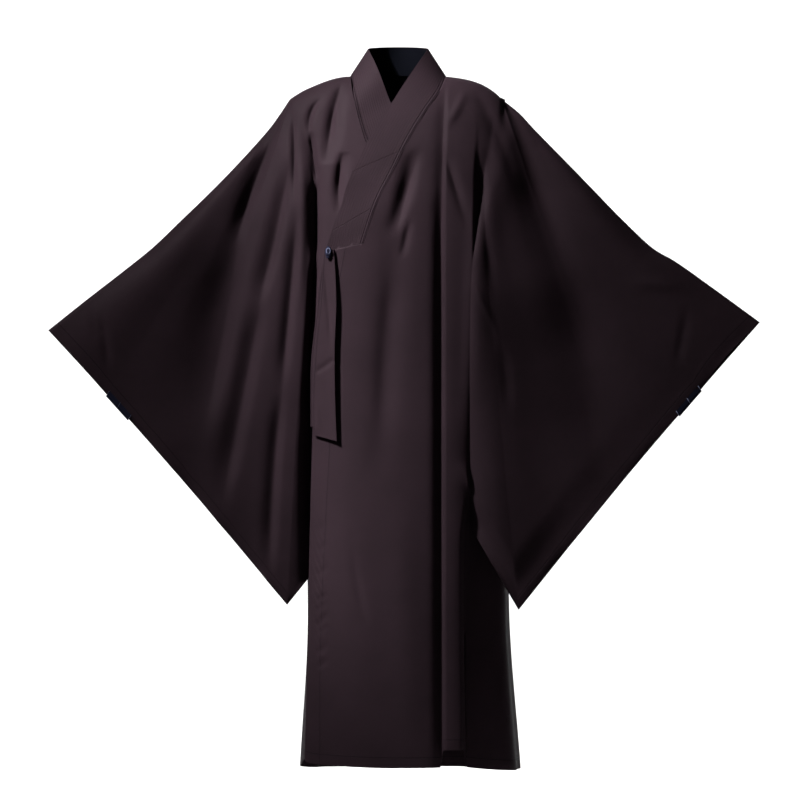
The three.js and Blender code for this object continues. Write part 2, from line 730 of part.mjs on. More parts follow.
// Each layer is a piece of its own: they meet along the arm's line, and lie against each other where sewn.
function sleeveLayer(name, layer) {
  const at = sleeveLayers(name);
  const rows = RAYS[name].map((_, m) =>
    Array.from({ length: STEPS.armholeSide + 1 }, (__, r) => at(m, r)[layer]),
  );
  return sheetFrom(rows, (name === "left") === (layer === "front"));
}

// The neckband: one long strip, lapped end first, round the back of the neck, to the end under the lap
function bandEdge() {
  const lap = onFront(LAP_EDGE, LAP_GAP + 1);
  const topAt = (turn) =>
    new THREE.Vector3(
      NECK_CENTRE + BAND_TOP_HALF * Math.cos(turn),
      BAND_BACK_STAND * Math.sin(turn),
      mix(BAND_TOP_HEIGHT, BAND_BACK_HEIGHT, Math.sin(turn)),
    );
  lap[lap.length - 1].y = BAND_TOP_STAND.lap;
  const under = onFront(UNDER_EDGE, 0);
  under[0].y = BAND_TOP_STAND.under;
  const front = evenly([...lap, topAt(0)], STEPS.lapBand);
  const round = shares(2 * STEPS.halfNeck).map((t) => topAt(t * Math.PI));
  const hidden = evenly([topAt(Math.PI), ...under], STEPS.underBand);
  return [...front, ...round.slice(1), ...hidden.slice(1)];
}
function bandSeam() {
  const left = backNeck(1).reverse();
  const right = backNeck(-1);
  return [...lapSeam(), ...left.slice(1), ...right.slice(1), ...underSeam().slice(1)];
}
function bandEnd() {
  const seam = lapSeam()[0];
  const edge = bandEdge()[0];
  return shares(STEPS.bandWidth).map((t) => edge.clone().lerp(seam, t));
}
function neckband() {
  const seam = bandSeam();
  const edge = bandEdge();
  const rows = seam.map((point, i) =>
    shares(STEPS.bandWidth).map((t) => edge[i].clone().lerp(point, t)),
  );
  return sheetFrom(rows);
}

// The ties hang from the end of the neckband: a broad one in front and the other end behind it.
const FRONT_TIE = [
  { z: -322, x: -126, half: 9, out: 5.4 },
  { z: -360, x: -126, half: 12, out: 6.4 },
  { z: -420, x: -127, half: 15, out: 8 },
  { z: -510, x: -133, half: 18, out: 9 },
  { z: -600, x: -135, half: 21, out: 9 },
  { z: -676, x: -133, half: 22, out: 8 },
];
const BACK_TIE = [
  { z: -320, x: -124, half: 7, out: 3.2 },
  { z: -360, x: -131, half: 9, out: 3.6 },
  { z: -430, x: -136, half: 12, out: 4 },
  { z: -560, x: -146, half: 14, out: 4 },
  { z: -655, x: -146, half: 14, out: 4 },
];
const TIE_STEPS = 9;
const TIE_SLANT = 6; // how much lower the front tie's outer corner is
function tie(rows) {
  const at = ["x", "half", "out"].map((key) => through(rows, "z", key));
  const lines = shares(TIE_STEPS).map((t) => {
    const z = mix(rows[0].z, rows.at(-1).z, t);
    const [x, half, out] = at.map((value) => value(z));
    return [-1, 0, 1].map((way) => {
      const slant = rows === FRONT_TIE ? -TIE_SLANT * way * t : 0;
      return frontPoint(x + way * half, z + slant, LAP_GAP + out + (way === 0 ? t : 0));
    });
  });
  return sheetFrom(lines);
}

// The knot that joins the ties to the neckband's end
const KNOT = { x: -127, z: -328, wide: 13, tall: 25, thick: 7, out: 10.4 };
function knot() {
  const geometry = new THREE.SphereGeometry(0.5, 20, 12);
  geometry.rotateX(Math.PI / 2).scale(KNOT.wide, KNOT.thick, KNOT.tall);
  const place = frontPoint(KNOT.x, KNOT.z, LAP_GAP + KNOT.out);
  return geometry.translate(place.x, place.y, place.z);
}

// The tack folded over the sewn edge of each cuff, just below its opening
const TACK = { deep: 9, wall: 1.2, ends: 0.03, clear: 1.3 };
const TACK_STAND = WALL / 2 + TACK.clear + TACK.wall / 2; // from the sleeve's cloth to the tack's, middle to middle
function cuffTack(name) {
  const at = sleeveLayers(name);
  const steps = STEPS.armholeSide;
  const out = new THREE.Vector3(SLEEVES[name].side, 0, -1).normalize();
  const line = (t) => (r, layer) =>
    at(MOUTH_RAYS, r)[layer].lerp(at(MOUTH_RAYS + 1, r)[layer], t);
  const rows = [TACK.ends, 0.5, 1 - TACK.ends].map((t) => {
    const on = line(t);
    const side = (layer, way) => {
      const rim = on(steps, layer);
      const step = on(steps - 1, layer).sub(rim);
      const within = [TACK.deep, TACK.deep / 2, 0].map((deep) =>
        rim.clone().addScaledVector(step, deep / step.length()),
      );
      within[2].addScaledVector(out, TACK_STAND);
      within.forEach((point) => (point.y += way * TACK_STAND));
      return within;
    };
    return [...side("front", -1), ...side("back", 1).reverse()];
  });
  return sheetFrom(rows, name === "right");
}

const MITRE_LIMIT = 0.55; // a sharply turned edge isn't thickened past 1 / this of the wall

// Cloth with a thickness: every point moves both ways along its normal. Where two pieces are sewn they
// share a normal, so that their rims lie along each other, and each one stops short of the seam.
const placeKey = (p) => p.toArray().map((n) => Math.round(n * 20)).join();
function normalsOf(sheet) {
  const normals = sheet.points.map(() => new THREE.Vector3());
  for (const face of sheet.faces) {
    const [a, b, c] = face.map((i) => sheet.points[i]);
    const normal = b.clone().sub(a).cross(c.clone().sub(a)).normalize();
    face.forEach((i, k) => {
      const p = sheet.points[i];
      const one = sheet.points[face[(k + 1) % 3]].clone().sub(p);
      const two = sheet.points[face[(k + 2) % 3]].clone().sub(p);
      normals[i].addScaledVector(normal, one.angleTo(two));
    });
  }
  return normals.map((n) => n.normalize());
}
function rimOf(sheet) {
  const open = new Map();
  for (const face of sheet.faces)
    face.forEach((from, k) => {
      const to = face[(k + 1) % 3];
      if (!open.delete(`${to} ${from}`)) open.set(`${from} ${to}`, [from, to]);
    });
  return [...open.values()];
}

function sewNormals(sheets) {
  const met = new Map();
  for (const sheet of sheets) {
    sheet.normals = normalsOf(sheet);
    sheet.rim = rimOf(sheet);
    for (const i of new Set(sheet.rim.flat())) {
      const key = placeKey(sheet.points[i]);
      met.set(key, [...(met.get(key) ?? []), { sheet, i, normal: sheet.normals[i].clone() }]);
    }
  }
  for (const group of met.values())
    for (const one of group) {
      const others = group.filter((two) => two.sheet !== one.sheet);
      if (!others.length) continue;
      one.sheet.sewn = (one.sheet.sewn ?? new Map()).set(one.i, others.length);
      const shared = one.sheet.normals[one.i];
      for (const two of others) shared.add(two.normal);
      shared.normalize();
    }
}

function thicken(sheet, wall) {
  const inward = sheet.points.map(() => new THREE.Vector3());
  const spread = sheet.points.map(() => 1);
  for (const face of sheet.faces) {
    const [a, b, c] = face.map((i) => sheet.points[i]);
    const normal = b.clone().sub(a).cross(c.clone().sub(a)).normalize();
    const middle = a.clone().add(b).add(c).divideScalar(3);
    for (const i of face) {
      inward[i].add(middle.clone().sub(sheet.points[i]).normalize());
      spread[i] = Math.min(spread[i], Math.abs(normal.dot(sheet.normals[i])));
    }
  }
  const sides = [1, -1].map((way) =>
    sheet.points.map((point, i) => {
      const moved = point.clone();
      const n = sheet.normals[i];
      if (sheet.sewn?.has(i)) {
        const step = inward[i].clone();
        if (sheet.sewn.get(i) === 1) step.addScaledVector(n, -step.dot(n));
        moved.addScaledVector(step.normalize(), SEAM_INSET * sheet.sewn.get(i));
      }
      return moved.addScaledVector(n, (way * wall) / 2 / Math.max(MITRE_LIMIT, spread[i]));
    }),
  );
  const count = sheet.points.length;
  const index = sheet.faces.flatMap(([a, b, c]) => [a, b, c, count + a, count + c, count + b]);
  for (const [from, to] of sheet.rim)
    index.push(from, count + from, to, to, count + from, count + to);
  const positions = sides.flat().flatMap((point) => point.toArray());
  const geometry = new THREE.BufferGeometry();
  geometry.setAttribute("position", new THREE.Float32BufferAttribute(positions, 3));
  geometry.setIndex(index);
  geometry.computeVertexNormals();
  return geometry;
}

const CLOTH = new THREE.MeshStandardMaterial({ color: 0x3b2e34, roughness: 0.8, metalness: 0 });
const NAVY = new THREE.MeshStandardMaterial({ color: 0x1a1c33, roughness: 0.8, metalness: 0 });

const robe = new THREE.Group();
const addPiece = (name, geometry, material) => {
  const mesh = new THREE.Mesh(geometry, material);
  mesh.name = name;
  robe.add(mesh);
};

const panels = {
  front_left_lapped: lappedFront(),
  front_right_under: underFront(),
  back_left: backHalf("left"),
  back_right: backHalf("right"),
  sleeve_left_front: sleeveLayer("left", "front"),
  sleeve_left_back: sleeveLayer("left", "back"),
  sleeve_right_front: sleeveLayer("right", "front"),
  sleeve_right_back: sleeveLayer("right", "back"),
  neckband: neckband(),
};
sewNormals(Object.values(panels));
for (const [name, sheet] of Object.entries(panels)) addPiece(name, thicken(sheet, WALL), CLOTH);

const ties = { tie_front: tie(FRONT_TIE), tie_back: tie(BACK_TIE) };
sewNormals(Object.values(ties));
for (const [name, sheet] of Object.entries(ties)) addPiece(name, thicken(sheet, TIE_WALL), CLOTH);

const tacks = { cuff_tack_left: cuffTack("left"), cuff_tack_right: cuffTack("right") };
sewNormals(Object.values(tacks));
for (const [name, sheet] of Object.entries(tacks)) addPiece(name, thicken(sheet, TACK.wall), NAVY);
addPiece("tie_knot", knot(), NAVY);

export default robe;
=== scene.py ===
"""A Buddhist lay robe in dark plum-brown cloth, hollow, in the shape it takes with the arms held out and down.

Metres in Blender, +Z up. The front faces -Y and the wearer's left is at +X. The origin is between the shoulders.
The tables and the functions on them are in millimetres; each mesh is scaled to metres as it is made.
"""

import math

import bpy
import numpy as np
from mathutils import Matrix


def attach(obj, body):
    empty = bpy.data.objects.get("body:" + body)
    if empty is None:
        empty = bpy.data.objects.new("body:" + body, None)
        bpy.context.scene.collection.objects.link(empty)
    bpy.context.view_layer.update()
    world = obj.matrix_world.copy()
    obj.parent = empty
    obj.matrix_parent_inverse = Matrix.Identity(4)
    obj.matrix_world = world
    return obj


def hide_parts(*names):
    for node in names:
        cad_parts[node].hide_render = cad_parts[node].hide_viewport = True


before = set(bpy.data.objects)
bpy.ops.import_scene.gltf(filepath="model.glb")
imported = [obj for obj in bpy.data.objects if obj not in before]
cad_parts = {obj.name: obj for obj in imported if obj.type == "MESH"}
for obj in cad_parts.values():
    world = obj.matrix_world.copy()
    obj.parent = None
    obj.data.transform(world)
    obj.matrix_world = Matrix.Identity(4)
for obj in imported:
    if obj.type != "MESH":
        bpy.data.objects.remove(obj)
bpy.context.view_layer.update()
MM = 0.001


# The form that the robe hangs on: shoulders, chest and the fall of the cloth to the hem.
# The robe is worn, so its sections follow a body, wide at the shoulders and opening a little to the hem.


def table(columns, *rows):
    """Rows of numbers with a name for each column."""
    return [dict(zip(columns.split(), row)) for row in rows]


def column(rows, name):
    return np.array([row[name] for row in rows], float)


def through(rows, at, value):
    """A smooth function through a table's rows, with no overshoot."""
    x, y = column(rows, at), column(rows, value)
    if x[0] > x[-1]:
        x, y = x[::-1], y[::-1]
    rise = np.diff(y) / np.diff(x)
    slope = np.zeros_like(y)
    slope[0], slope[-1] = rise[0], rise[-1]
    one, two = rise[:-1], rise[1:]
    product = one * two
    total = np.where(one + two == 0, 1, one + two)
    slope[1:-1] = np.where(product > 0, 2 * product / total, 0)

    def value_at(place):
        place = np.clip(place, x[0], x[-1])
        i = np.clip(np.searchsorted(x, place, side="right") - 1, 0, len(x) - 2)
        width = x[i + 1] - x[i]
        t = (place - x[i]) / width
        s = 1 - t
        from_start = y[i] * s * s * (1 + 2 * t) + slope[i] * width * t * s * s
        from_end = y[i + 1] * t * t * (1 + 2 * s) - slope[i + 1] * width * t * t * s
        return from_start + from_end

    return value_at


def smooth(t):
    t = np.clip(t, 0, 1)
    return t * t * (3 - 2 * t)


def mix(a, b, t):
    return a + (b - a) * t


def bell(t):
    return np.exp(-t * t)


def spot(x, y, z):
    return np.stack(np.broadcast_arrays(x, y, z), axis=-1).astype(float)


SHOULDER_TIP = 200
TIP_HEIGHT = -37
NECK_CENTRE = 4
NECK_HALF = 90
NECK_SEAM_HEIGHT = 6
NAPE_RISE = 47
LAP_GAP = 10
FULLNESS = 2.6

SHOULDER_LINE = table(
    "out left right",
    (0, 6, 6), (90, 6, 6), (112, 4, 3), (135, 0, -4), (155, -6, -12), (175, -16, -21), (190, -27, -30),
    (200, -37, -37), (240, -80, -80),
)
left_shoulder = through(SHOULDER_LINE, "out", "left")
right_shoulder = through(SHOULDER_LINE, "out", "right")


def shoulder_height(x):
    return np.where(np.asarray(x) > 0, left_shoulder(np.abs(x)), right_shoulder(np.abs(x)))


HEM_LINE = table("x z", (-190, -1279), (-150, -1288), (0, -1294), (120, -1293), (230, -1293))
hem_height = through(HEM_LINE, "x", "z")

DRAPE = table(
    "fall front back",
    (0, 0, 0), (5, 19, 19), (12, 30, 30), (25, 43, 45), (45, 56, 60), (90, 75, 80), (150, 94, 97), (250, 110, 108),
    (400, 117, 106), (550, 120, 104), (700, 126, 112), (900, 134, 122), (1100, 141, 133), (1330, 150, 146),
)
front_drape = through(DRAPE, "fall", "front")
back_drape = through(DRAPE, "fall", "back")

BODY = table(
    "z middle half",
    (10, 4, 245), (-120, 4, 236), (-220, 4, 218), (-340, 6, 206), (-550, 12, 198), (-840, 24, 191),
    (-1000, 26, 190), (-1300, 29, 208),
)
middle_at = through(BODY, "z", "middle")
half_at = through(BODY, "z", "half")


def body_point(side, degrees, level, z):
    """A point of the back: 0 degrees at the side, 90 at the middle of the back, less than 0 in front."""
    angle = np.radians(degrees)
    power = 2 / FULLNESS
    x = middle_at(level) + side * half_at(level) * np.abs(np.cos(angle)) ** power
    across = np.clip(1 - ((x - NECK_CENTRE) / NECK_HALF) ** 2, 0, 1)
    fall = np.maximum(0, shoulder_height(x) + NAPE_RISE * np.sqrt(across) - z)
    stand = np.abs(np.sin(angle)) ** power
    y = np.where(np.asarray(degrees) > 0, back_drape(fall), -front_drape(fall)) * stand
    return spot(x, y, z)


def angle_at(x, side):
    across = np.clip(side * (x - middle_at(0.0)) / half_at(0.0), 0, 1)
    return np.degrees(np.arccos(across ** (FULLNESS / 2)))


# The folds of the two fronts. The longest falls from the neck to the hem on the wearer's left: a deep
# valley with a flat ridge beside it. The others are soft drags from the neckband, the chest and the lap.

LONG_FOLD = table(
    "z x valley ridge",
    (6, 94, 0, 0), (-60, 91, 8, 0), (-180, 87, 12, 4), (-330, 85, 22, 9), (-700, 85, 26, 11), (-1293, 86, 24, 11),
)
long_fold_x = through(LONG_FOLD, "z", "x")
long_fold_valley = through(LONG_FOLD, "z", "valley")
long_fold_ridge = through(LONG_FOLD, "z", "ridge")


# The valley is wide towards the middle of the robe and steep at the ridge. The ridge is narrower near the hem.
VALLEY = {"share": 0.5, "near": 13.0, "far": 4.0}
RIDGE = {"rise": 7, "start": 0.6, "slant": 60, "width": 43, "wider": 24, "widens_at": -880, "over": 200, "end": 9}


def long_fold(x, z):
    off = x - long_fold_x(z)
    valley = long_fold_valley(z) * VALLEY["share"] * bell(off / np.where(off < 0, VALLEY["near"], VALLEY["far"]))
    width = RIDGE["width"] + RIDGE["wider"] * smooth((z - RIDGE["widens_at"]) / RIDGE["over"])
    ridge = smooth(off / RIDGE["rise"]) * (RIDGE["start"] + off / RIDGE["slant"])
    return valley - long_fold_ridge(z) * ridge * smooth((width - off) / RIDGE["end"])


BASE_FOLDS = table(
    "x0 z0 x1 z1 x2 z2 depth reach",
    (34, -135, 17, -208, -4, -290, 8, 15), (4, -250, -14, -470, -30, -760, 5, 26),
    (-100, -4, -118, -75, -130, -160, 9, 14), (-96, -140, -112, -195, -106, -260, 7, 11),
    (10, -760, 22, -1000, 30, -1310, -5, 34),
)


def base_folds(x, z):
    dip = np.zeros(np.broadcast(x, z).shape)
    for row in BASE_FOLDS:
        t = np.clip((row["z0"] - z) / (row["z0"] - row["z2"]), 0, 1)
        line = row["x0"] * (1 - t) ** 2 + row["x1"] * 2 * (1 - t) * t + row["x2"] * t * t
        dip = dip + row["depth"] * bell((x - line) / row["reach"]) * np.sin(np.pi * t) ** 0.6
    return dip


def front_point(x, z, gap=0.0):
    """A point of either front, seen from in front. gap is how far it laps over the other front."""
    fall = np.maximum(0, shoulder_height(x) - z)
    across = np.clip(np.abs(x - middle_at(z)) / (half_at(z) + 14), 0, 1)
    stand = front_drape(fall) * (1 - across**FULLNESS) ** (1 / FULLNESS)
    folds = (base_folds(x, z) + long_fold(x, z)) * smooth(fall / 40)
    return spot(x, -stand - gap * np.clip(fall / 60, 0, 1) + folds, z)


def creases(rows, x, z):
    """How far the cloth dips at each place, from a table of troughs and ridges.

    A row's line bends from (x0, z0) by (x1, z1) to (x2, z2). depth is how far it dips, less than 0 for a ridge.
    near and far are its half widths to the left and right as it runs down, fade is the share of its length
    in which it starts and ends, and sharp is 2 for a round trough and 1 for a crease.
    """
    dip = np.zeros(x.shape)
    steps = 12
    for row in rows:
        t = np.linspace(0, 1, steps + 1)
        line_x = row["x0"] * (1 - t) ** 2 + row["x1"] * 2 * t * (1 - t) + row["x2"] * t * t
        line_z = row["z0"] * (1 - t) ** 2 + row["z1"] * 2 * t * (1 - t) + row["z2"] * t * t
        room = 3 * max(row["near"], row["far"])
        inside = (x > line_x.min() - room) & (x < line_x.max() + room)
        inside &= (z > line_z.min() - room) & (z < line_z.max() + room)
        px, pz = x[inside], z[inside]
        if not px.size:
            continue
        away = np.full(px.shape, 1e9)
        place = np.zeros(px.shape)
        side = np.zeros(px.shape)
        for k in range(steps):
            dx, dz = line_x[k + 1] - line_x[k], line_z[k + 1] - line_z[k]
            s = np.clip(((px - line_x[k]) * dx + (pz - line_z[k]) * dz) / (dx * dx + dz * dz), 0, 1)
            ox, oz = px - line_x[k] - s * dx, pz - line_z[k] - s * dz
            closer = np.hypot(ox, oz) < away
            away[closer] = np.hypot(ox, oz)[closer]
            place[closer] = ((k + s) / steps)[closer]
            side[closer] = (dx * oz - dz * ox)[closer]
        reach = np.where(side > 0, row["far"], row["near"])
        ends = smooth(place / row["fade"]) * smooth((1 - place) / row["fade"])
        dip[inside] += row["depth"] * ends * np.exp(-((away / reach) ** row["sharp"]))
    return dip


FRONT_CREASES = {
    "left": table(
        "x0 z0 x1 z1 x2 z2 depth near far fade sharp",
        (42, -134, 24, -212, -2, -296, 5.5, 13, 6, 0.5, 1.7), (27, -255, 18, -305, 12, -342, 4, 6, 8, 0.4, 2),
        (-4, -350, -28, -500, -25, -690, 3, 14, 20, 0.3, 2), (-84, -860, -74, -960, -48, -1040, 3, 8, 6, 0.4, 1.8),
        (88, -128, 106, -190, 142, -300, 8, 8, 9, 0.5, 1.6), (134, -14, 118, -52, 92, -98, -4, 8, 9, 0.4, 2),
        (156, -140, 161, -206, 168, -280, 3, 9, 8, 0.5, 2), (162, -220, 168, -310, 188, -430, 4, 9, 11, 0.5, 1.8),
        (140, -6, 190, -90, 230, -205, 7, 14, 15, 0.35, 1.8), (196, -96, 256, -220, 322, -410, 14, 66, 56, 0.6, 2),
        (306, -352, 350, -560, 374, -820, 24, 100, 60, 0.4, 2),
        (136, -376, 166, -430, 198, -494, -2.5, 5, 7, 0.4, 2), (196, -480, 208, -560, 212, -640, 3, 12, 12, 0.4, 2),
        (549, -420, 538, -490, 526, -550, 3.5, 7, 9, 0.4, 1.8),
        (420, -380, 500, -392, 560, -386, -3, 12, 14, 0.4, 2),
        (-150, -852, -138, -846, -128, -832, 1.6, 4, 5, 0.4, 1.7),
        (-150, -892, -136, -884, -126, -868, 1.8, 4, 5, 0.4, 1.7),
        (-152, -937, -138, -930, -124, -912, 2.2, 4, 5, 0.4, 1.7),
        (-152, -984, -138, -978, -125, -964, 2.6, 4, 5, 0.4, 1.7),
        (-152, -1004, -140, -996, -124, -977, 2.2, 4, 5, 0.4, 1.7),
        (-154, -1036, -142, -1024, -122, -998, 2.8, 4, 6, 0.4, 1.7),
        (-150, -1044, -138, -1040, -126, -1024, 2.0, 4, 5, 0.4, 1.7),
        (-152, -1082, -140, -1078, -124, -1060, 2.8, 4, 6, 0.4, 1.7),
        (-152, -1110, -138, -1104, -124, -1087, 2.8, 4, 6, 0.4, 1.7),
        (153, -190, 141, -430, 135, -780, -9, 15, 26, 0.4, 2),
    ),
    "right": table(
        "x0 z0 x1 z1 x2 z2 depth near far fade sharp",
        (-98, 8, -118, -52, -133, -164, 6.5, 7, 4, 0.5, 1.5),
        (-132, -30, -173, -56, -160, -120, 9, 6, 4, 0.45, 1.4),
        (-161, -96, -157, -150, -146, -200, 13, 5, 5, 0.25, 1.3),
        (-148, -178, -153, -260, -152, -350, 15, 9, 7, 0.25, 1.5),
        (-152, -326, -160, -480, -170, -670, 14, 7, 7, 0.2, 1.5),
        (-170, -630, -169, -750, -166, -880, 8, 8, 7, 0.3, 1.7),
        (-96, -126, -114, -184, -103, -262, 6, 6, 5, 0.5, 1.5),
        (-112, -24, -110, -70, -116, -124, -4, 7, 8, 0.4, 2),
        (-196, -44, -188, -130, -194, -238, 7, 5, 6, 0.3, 1.5),
        (-210, -56, -268, -180, -308, -330, 13, 20, 10, 0.3, 1.7),
        (-296, -280, -322, -480, -372, -700, 20, 60, 20, 0.4, 1.9),
        (-199, -140, -222, -300, -264, -444, 12, 19, 10, 0.3, 1.7),
        (-250, -392, -286, -590, -332, -826, 14, 26, 13, 0.3, 1.8),
        (-183, -232, -200, -430, -217, -610, 9, 13, 9, 0.3, 1.7),
        (-212, -560, -236, -760, -238, -950, 10, 15, 9, 0.3, 1.8),
        (-176, -120, -174, -280, -182, -440, -4, 9, 9, 0.35, 2),
        (-560, -430, -545, -490, -538, -560, 4, 8, 7, 0.4, 1.8),
        (-586, -400, -570, -450, -560, -500, 3, 6, 6, 0.4, 1.8),
    ),
}
BACK_CREASES = {
    "left": table(
        "x0 z0 x1 z1 x2 z2 depth near far fade sharp",
        (240, -110, 270, -300, 300, -620, 9, 16, 14, 0.25, 1.7),
        (300, -170, 380, -330, 470, -560, 8, 18, 16, 0.25, 1.8),
        (210, -300, 226, -500, 232, -800, 8, 12, 14, 0.25, 1.8),
    ),
    "right": table(
        "x0 z0 x1 z1 x2 z2 depth near far fade sharp",
        (-235, -110, -262, -300, -290, -600, 9, 14, 16, 0.25, 1.7),
        (-300, -180, -360, -320, -440, -540, 8, 16, 18, 0.25, 1.8),
        (-205, -320, -216, -520, -224, -780, 7, 14, 12, 0.25, 1.8),
    ),
}


CREASES_START = 14  # how far below the shoulder seam the creases have their full depth


def creased(grid, side):
    """A front with its creases, which fade out at the shoulder seam."""
    fall = shoulder_height(grid[..., 0]) - grid[..., 2]
    grid[..., 1] += creases(FRONT_CREASES[side], grid[..., 0], grid[..., 2]) * smooth(fall / CREASES_START)
    return grid


def grid_faces(rows, columns, turned=False, start=0):
    a = (np.arange(rows - 1)[:, None] * columns + np.arange(columns - 1)[None, :]).ravel() + start
    faces = np.stack([a, a + 1, a + columns + 1, a + columns], axis=1)
    return faces[:, ::-1] if turned else faces


def lengths(grid):
    """Flat coordinates of a grid of points: the way along its rows, and the way down its columns."""
    across = np.linalg.norm(np.diff(grid, axis=1), axis=2)
    down = np.linalg.norm(np.diff(grid, axis=0), axis=2)
    u = np.concatenate([np.zeros((grid.shape[0], 1)), np.cumsum(across, axis=1)], axis=1)
    v = np.concatenate([np.zeros((1, grid.shape[1])), np.cumsum(down, axis=0)], axis=0)
    return np.stack([u, -v], axis=-1)


def fine(stops, steps):
    """Positions that run from stop to stop, with this many steps to each gap."""
    steps = steps if isinstance(steps, (list, tuple)) else [steps] * (len(stops) - 1)
    parts = [np.linspace(a, b, n, endpoint=False) for a, b, n in zip(stops, stops[1:], steps)]
    return np.concatenate(parts + [[stops[-1]]])


def line_through(points):
    """The smooth curve through some points, as a function of the share of its length."""
    points = np.asarray(points, float)
    ends = np.vstack([2 * points[0] - points[1], points, 2 * points[-1] - points[-2]])
    out = []
    for i in range(1, len(ends) - 2):
        p = ends[i - 1 : i + 3]
        gap = np.maximum(np.linalg.norm(np.diff(p, axis=0), axis=1) ** 0.5, 1e-4)
        slope_a = (p[1] - p[0]) / gap[0] - (p[2] - p[0]) / (gap[0] + gap[1]) + (p[2] - p[1]) / gap[1]
        slope_b = (p[2] - p[1]) / gap[1] - (p[3] - p[1]) / (gap[1] + gap[2]) + (p[3] - p[2]) / gap[2]
        t = np.linspace(0, 1, 40, endpoint=False)[:, None]
        c2 = -3 * p[1] + 3 * p[2] - (2 * slope_a + slope_b) * gap[1]
        c3 = 2 * p[1] - 2 * p[2] + (slope_a + slope_b) * gap[1]
        out.append(p[1] + slope_a * gap[1] * t + c2 * t * t + c3 * t**3)
    curve = np.vstack(out + [points[-1:]])
    way = np.concatenate([[0], np.cumsum(np.linalg.norm(np.diff(curve, axis=0), axis=1))])

    def at(share):
        want = np.asarray(share) * way[-1]
        return np.stack([np.interp(want, way, curve[:, k]) for k in range(3)], axis=-1)

    at.length = way[-1]
    return at


# The seams that more than one piece shares: the shoulders, the neckband's seam, the armholes and the side seams.

SLEEVES = {
    "left": {
        "side": 1,
        "gap": LAP_GAP,
        "front": table(
            "x z set",
            (200, -37, 0), (187, -75, 0), (176, -120, 1), (163, -190, 1), (150, -280, 2), (140, -400, 4),
            (136, -560, 4), (134, -720, 2), (134, -841, 0),
        ),
        "back": table(
            "z angle",
            (-37, 38), (-120, 36), (-220, 33), (-340, 29), (-550, 14), (-700, -16), (-800, -50), (-841, -59),
            (-1293, -66),
        ),
        "arm_top": table(
            "x y z",
            (200, 0, -37), (232, -6, -63), (259, -12, -92), (346, -28, -182), (434, -42, -273), (486, -50, -321),
            (525, -56, -344), (605, -66, -401), (684, -76, -459),
        ),
        "corner": (230, -124, -998),
        "hollow": 4,
        "mouth": {"front": 13, "back": 7, "tuck": 7},
        "hem": float(hem_height(230)),
    },
    "right": {
        "side": -1,
        "gap": 0,
        "front": table(
            "x z set",
            (-200, -37, 0), (-184, -75, 2), (-170, -120, 6), (-156, -190, 12), (-150, -280, 16), (-155, -400, 14),
            (-162, -560, 8), (-166, -740, 3), (-166, -935, 0),
        ),
        "back": table(
            "z angle",
            (-37, 38), (-120, 36), (-220, 33), (-340, 30), (-550, 20), (-750, 4), (-935, -14), (-1293, -15),
        ),
        "arm_top": table(
            "x y z",
            (-200, 0, -37), (-220, -5, -67), (-239, -9, -93), (-320, -24, -183), (-411, -40, -273),
            (-459, -48, -319), (-516, -55, -365), (-584, -62, -418), (-654, -68, -474),
        ),
        "corner": (-205, -72, -990),
        "hollow": 4,
        "mouth": {"front": 11, "back": 9, "tuck": 3},
        "hem": float(hem_height(-180)),
    },
}
ARMHOLE_TURN = -250  # where the sleeve's rays stop following the armhole, and its rows start to
RAYS_AT_ARMHOLE = 10
RAY_STEPS = 8
ROWS_OUT = 11
ROW_STEPS = 8
SEAM_ROWS = {"fan": RAYS_AT_ARMHOLE * RAY_STEPS, "armhole": ROWS_OUT * ROW_STEPS, "side": 66}


def under_arm(sleeve):
    return sleeve["front"][-1]["z"]


def side_rows(sleeve):
    """Heights down the armhole and the side seam, the same for each piece that meets there."""
    return fine([TIP_HEIGHT, ARMHOLE_TURN, under_arm(sleeve), sleeve["hem"]], list(SEAM_ROWS.values()))


def back_edge(sleeve, z):
    angle = through(sleeve["back"], "z", "angle")
    return body_point(sleeve["side"], angle(z), z, z)


def front_edge(sleeve, z):
    """The front armhole, and below the underarm the side seam."""
    z = np.asarray(z, float)
    low = under_arm(sleeve)
    x_at = through(sleeve["front"], "z", "x")
    set_at = through(sleeve["front"], "z", "set")
    end = back_edge(sleeve, np.array(low))
    joins = smooth((ARMHOLE_TURN - z) / (ARMHOLE_TURN - low))
    point = front_point(x_at(z), z, sleeve["gap"])
    there = front_point(x_at(low), np.array(float(low)), sleeve["gap"])
    point[..., 0] += (end[0] - x_at(low)) * joins
    point[..., 1] += set_at(z) + (end[1] - there[..., 1]) * joins
    below = z < low
    point[below] = back_edge(sleeve, z)[below]
    return point


def shoulder_seam(side, t):
    x = mix(NECK_CENTRE + side * NECK_HALF, side * SHOULDER_TIP, t)
    return spot(x, 0, shoulder_height(x))


LAP_SEAM = [(-61, -310), (-34, -231), (-4, -172), (19, -125), (41, -86), (60, -56), (81, -25), (94, 6)]
LAP_EDGE = [(-132, -325), (-122, -290), (-105, -245), (-87, -187), (-62, -132), (-36, -90), (-9, -47), (26, 8)]
UNDER_SEAM = [(-86, 6), (-79, -38), (-68, -85), (-49, -142), (-20, -205), (10, -262)]
UNDER_EDGE = [(-34, 19), (-11, -43), (12, -95), (40, -155), (66, -215)]


def on_front(rows, gap):
    rows = np.array(rows, float)
    return front_point(rows[:, 0], rows[:, 1], gap)


lap_points = on_front(LAP_SEAM, LAP_GAP)
lap_points[-1] = shoulder_seam(1, 0.0)
lap_seam = line_through(lap_points)
under_points = on_front(UNDER_SEAM, 0)
under_points[0] = shoulder_seam(-1, 0.0)
under_seam = line_through(under_points)


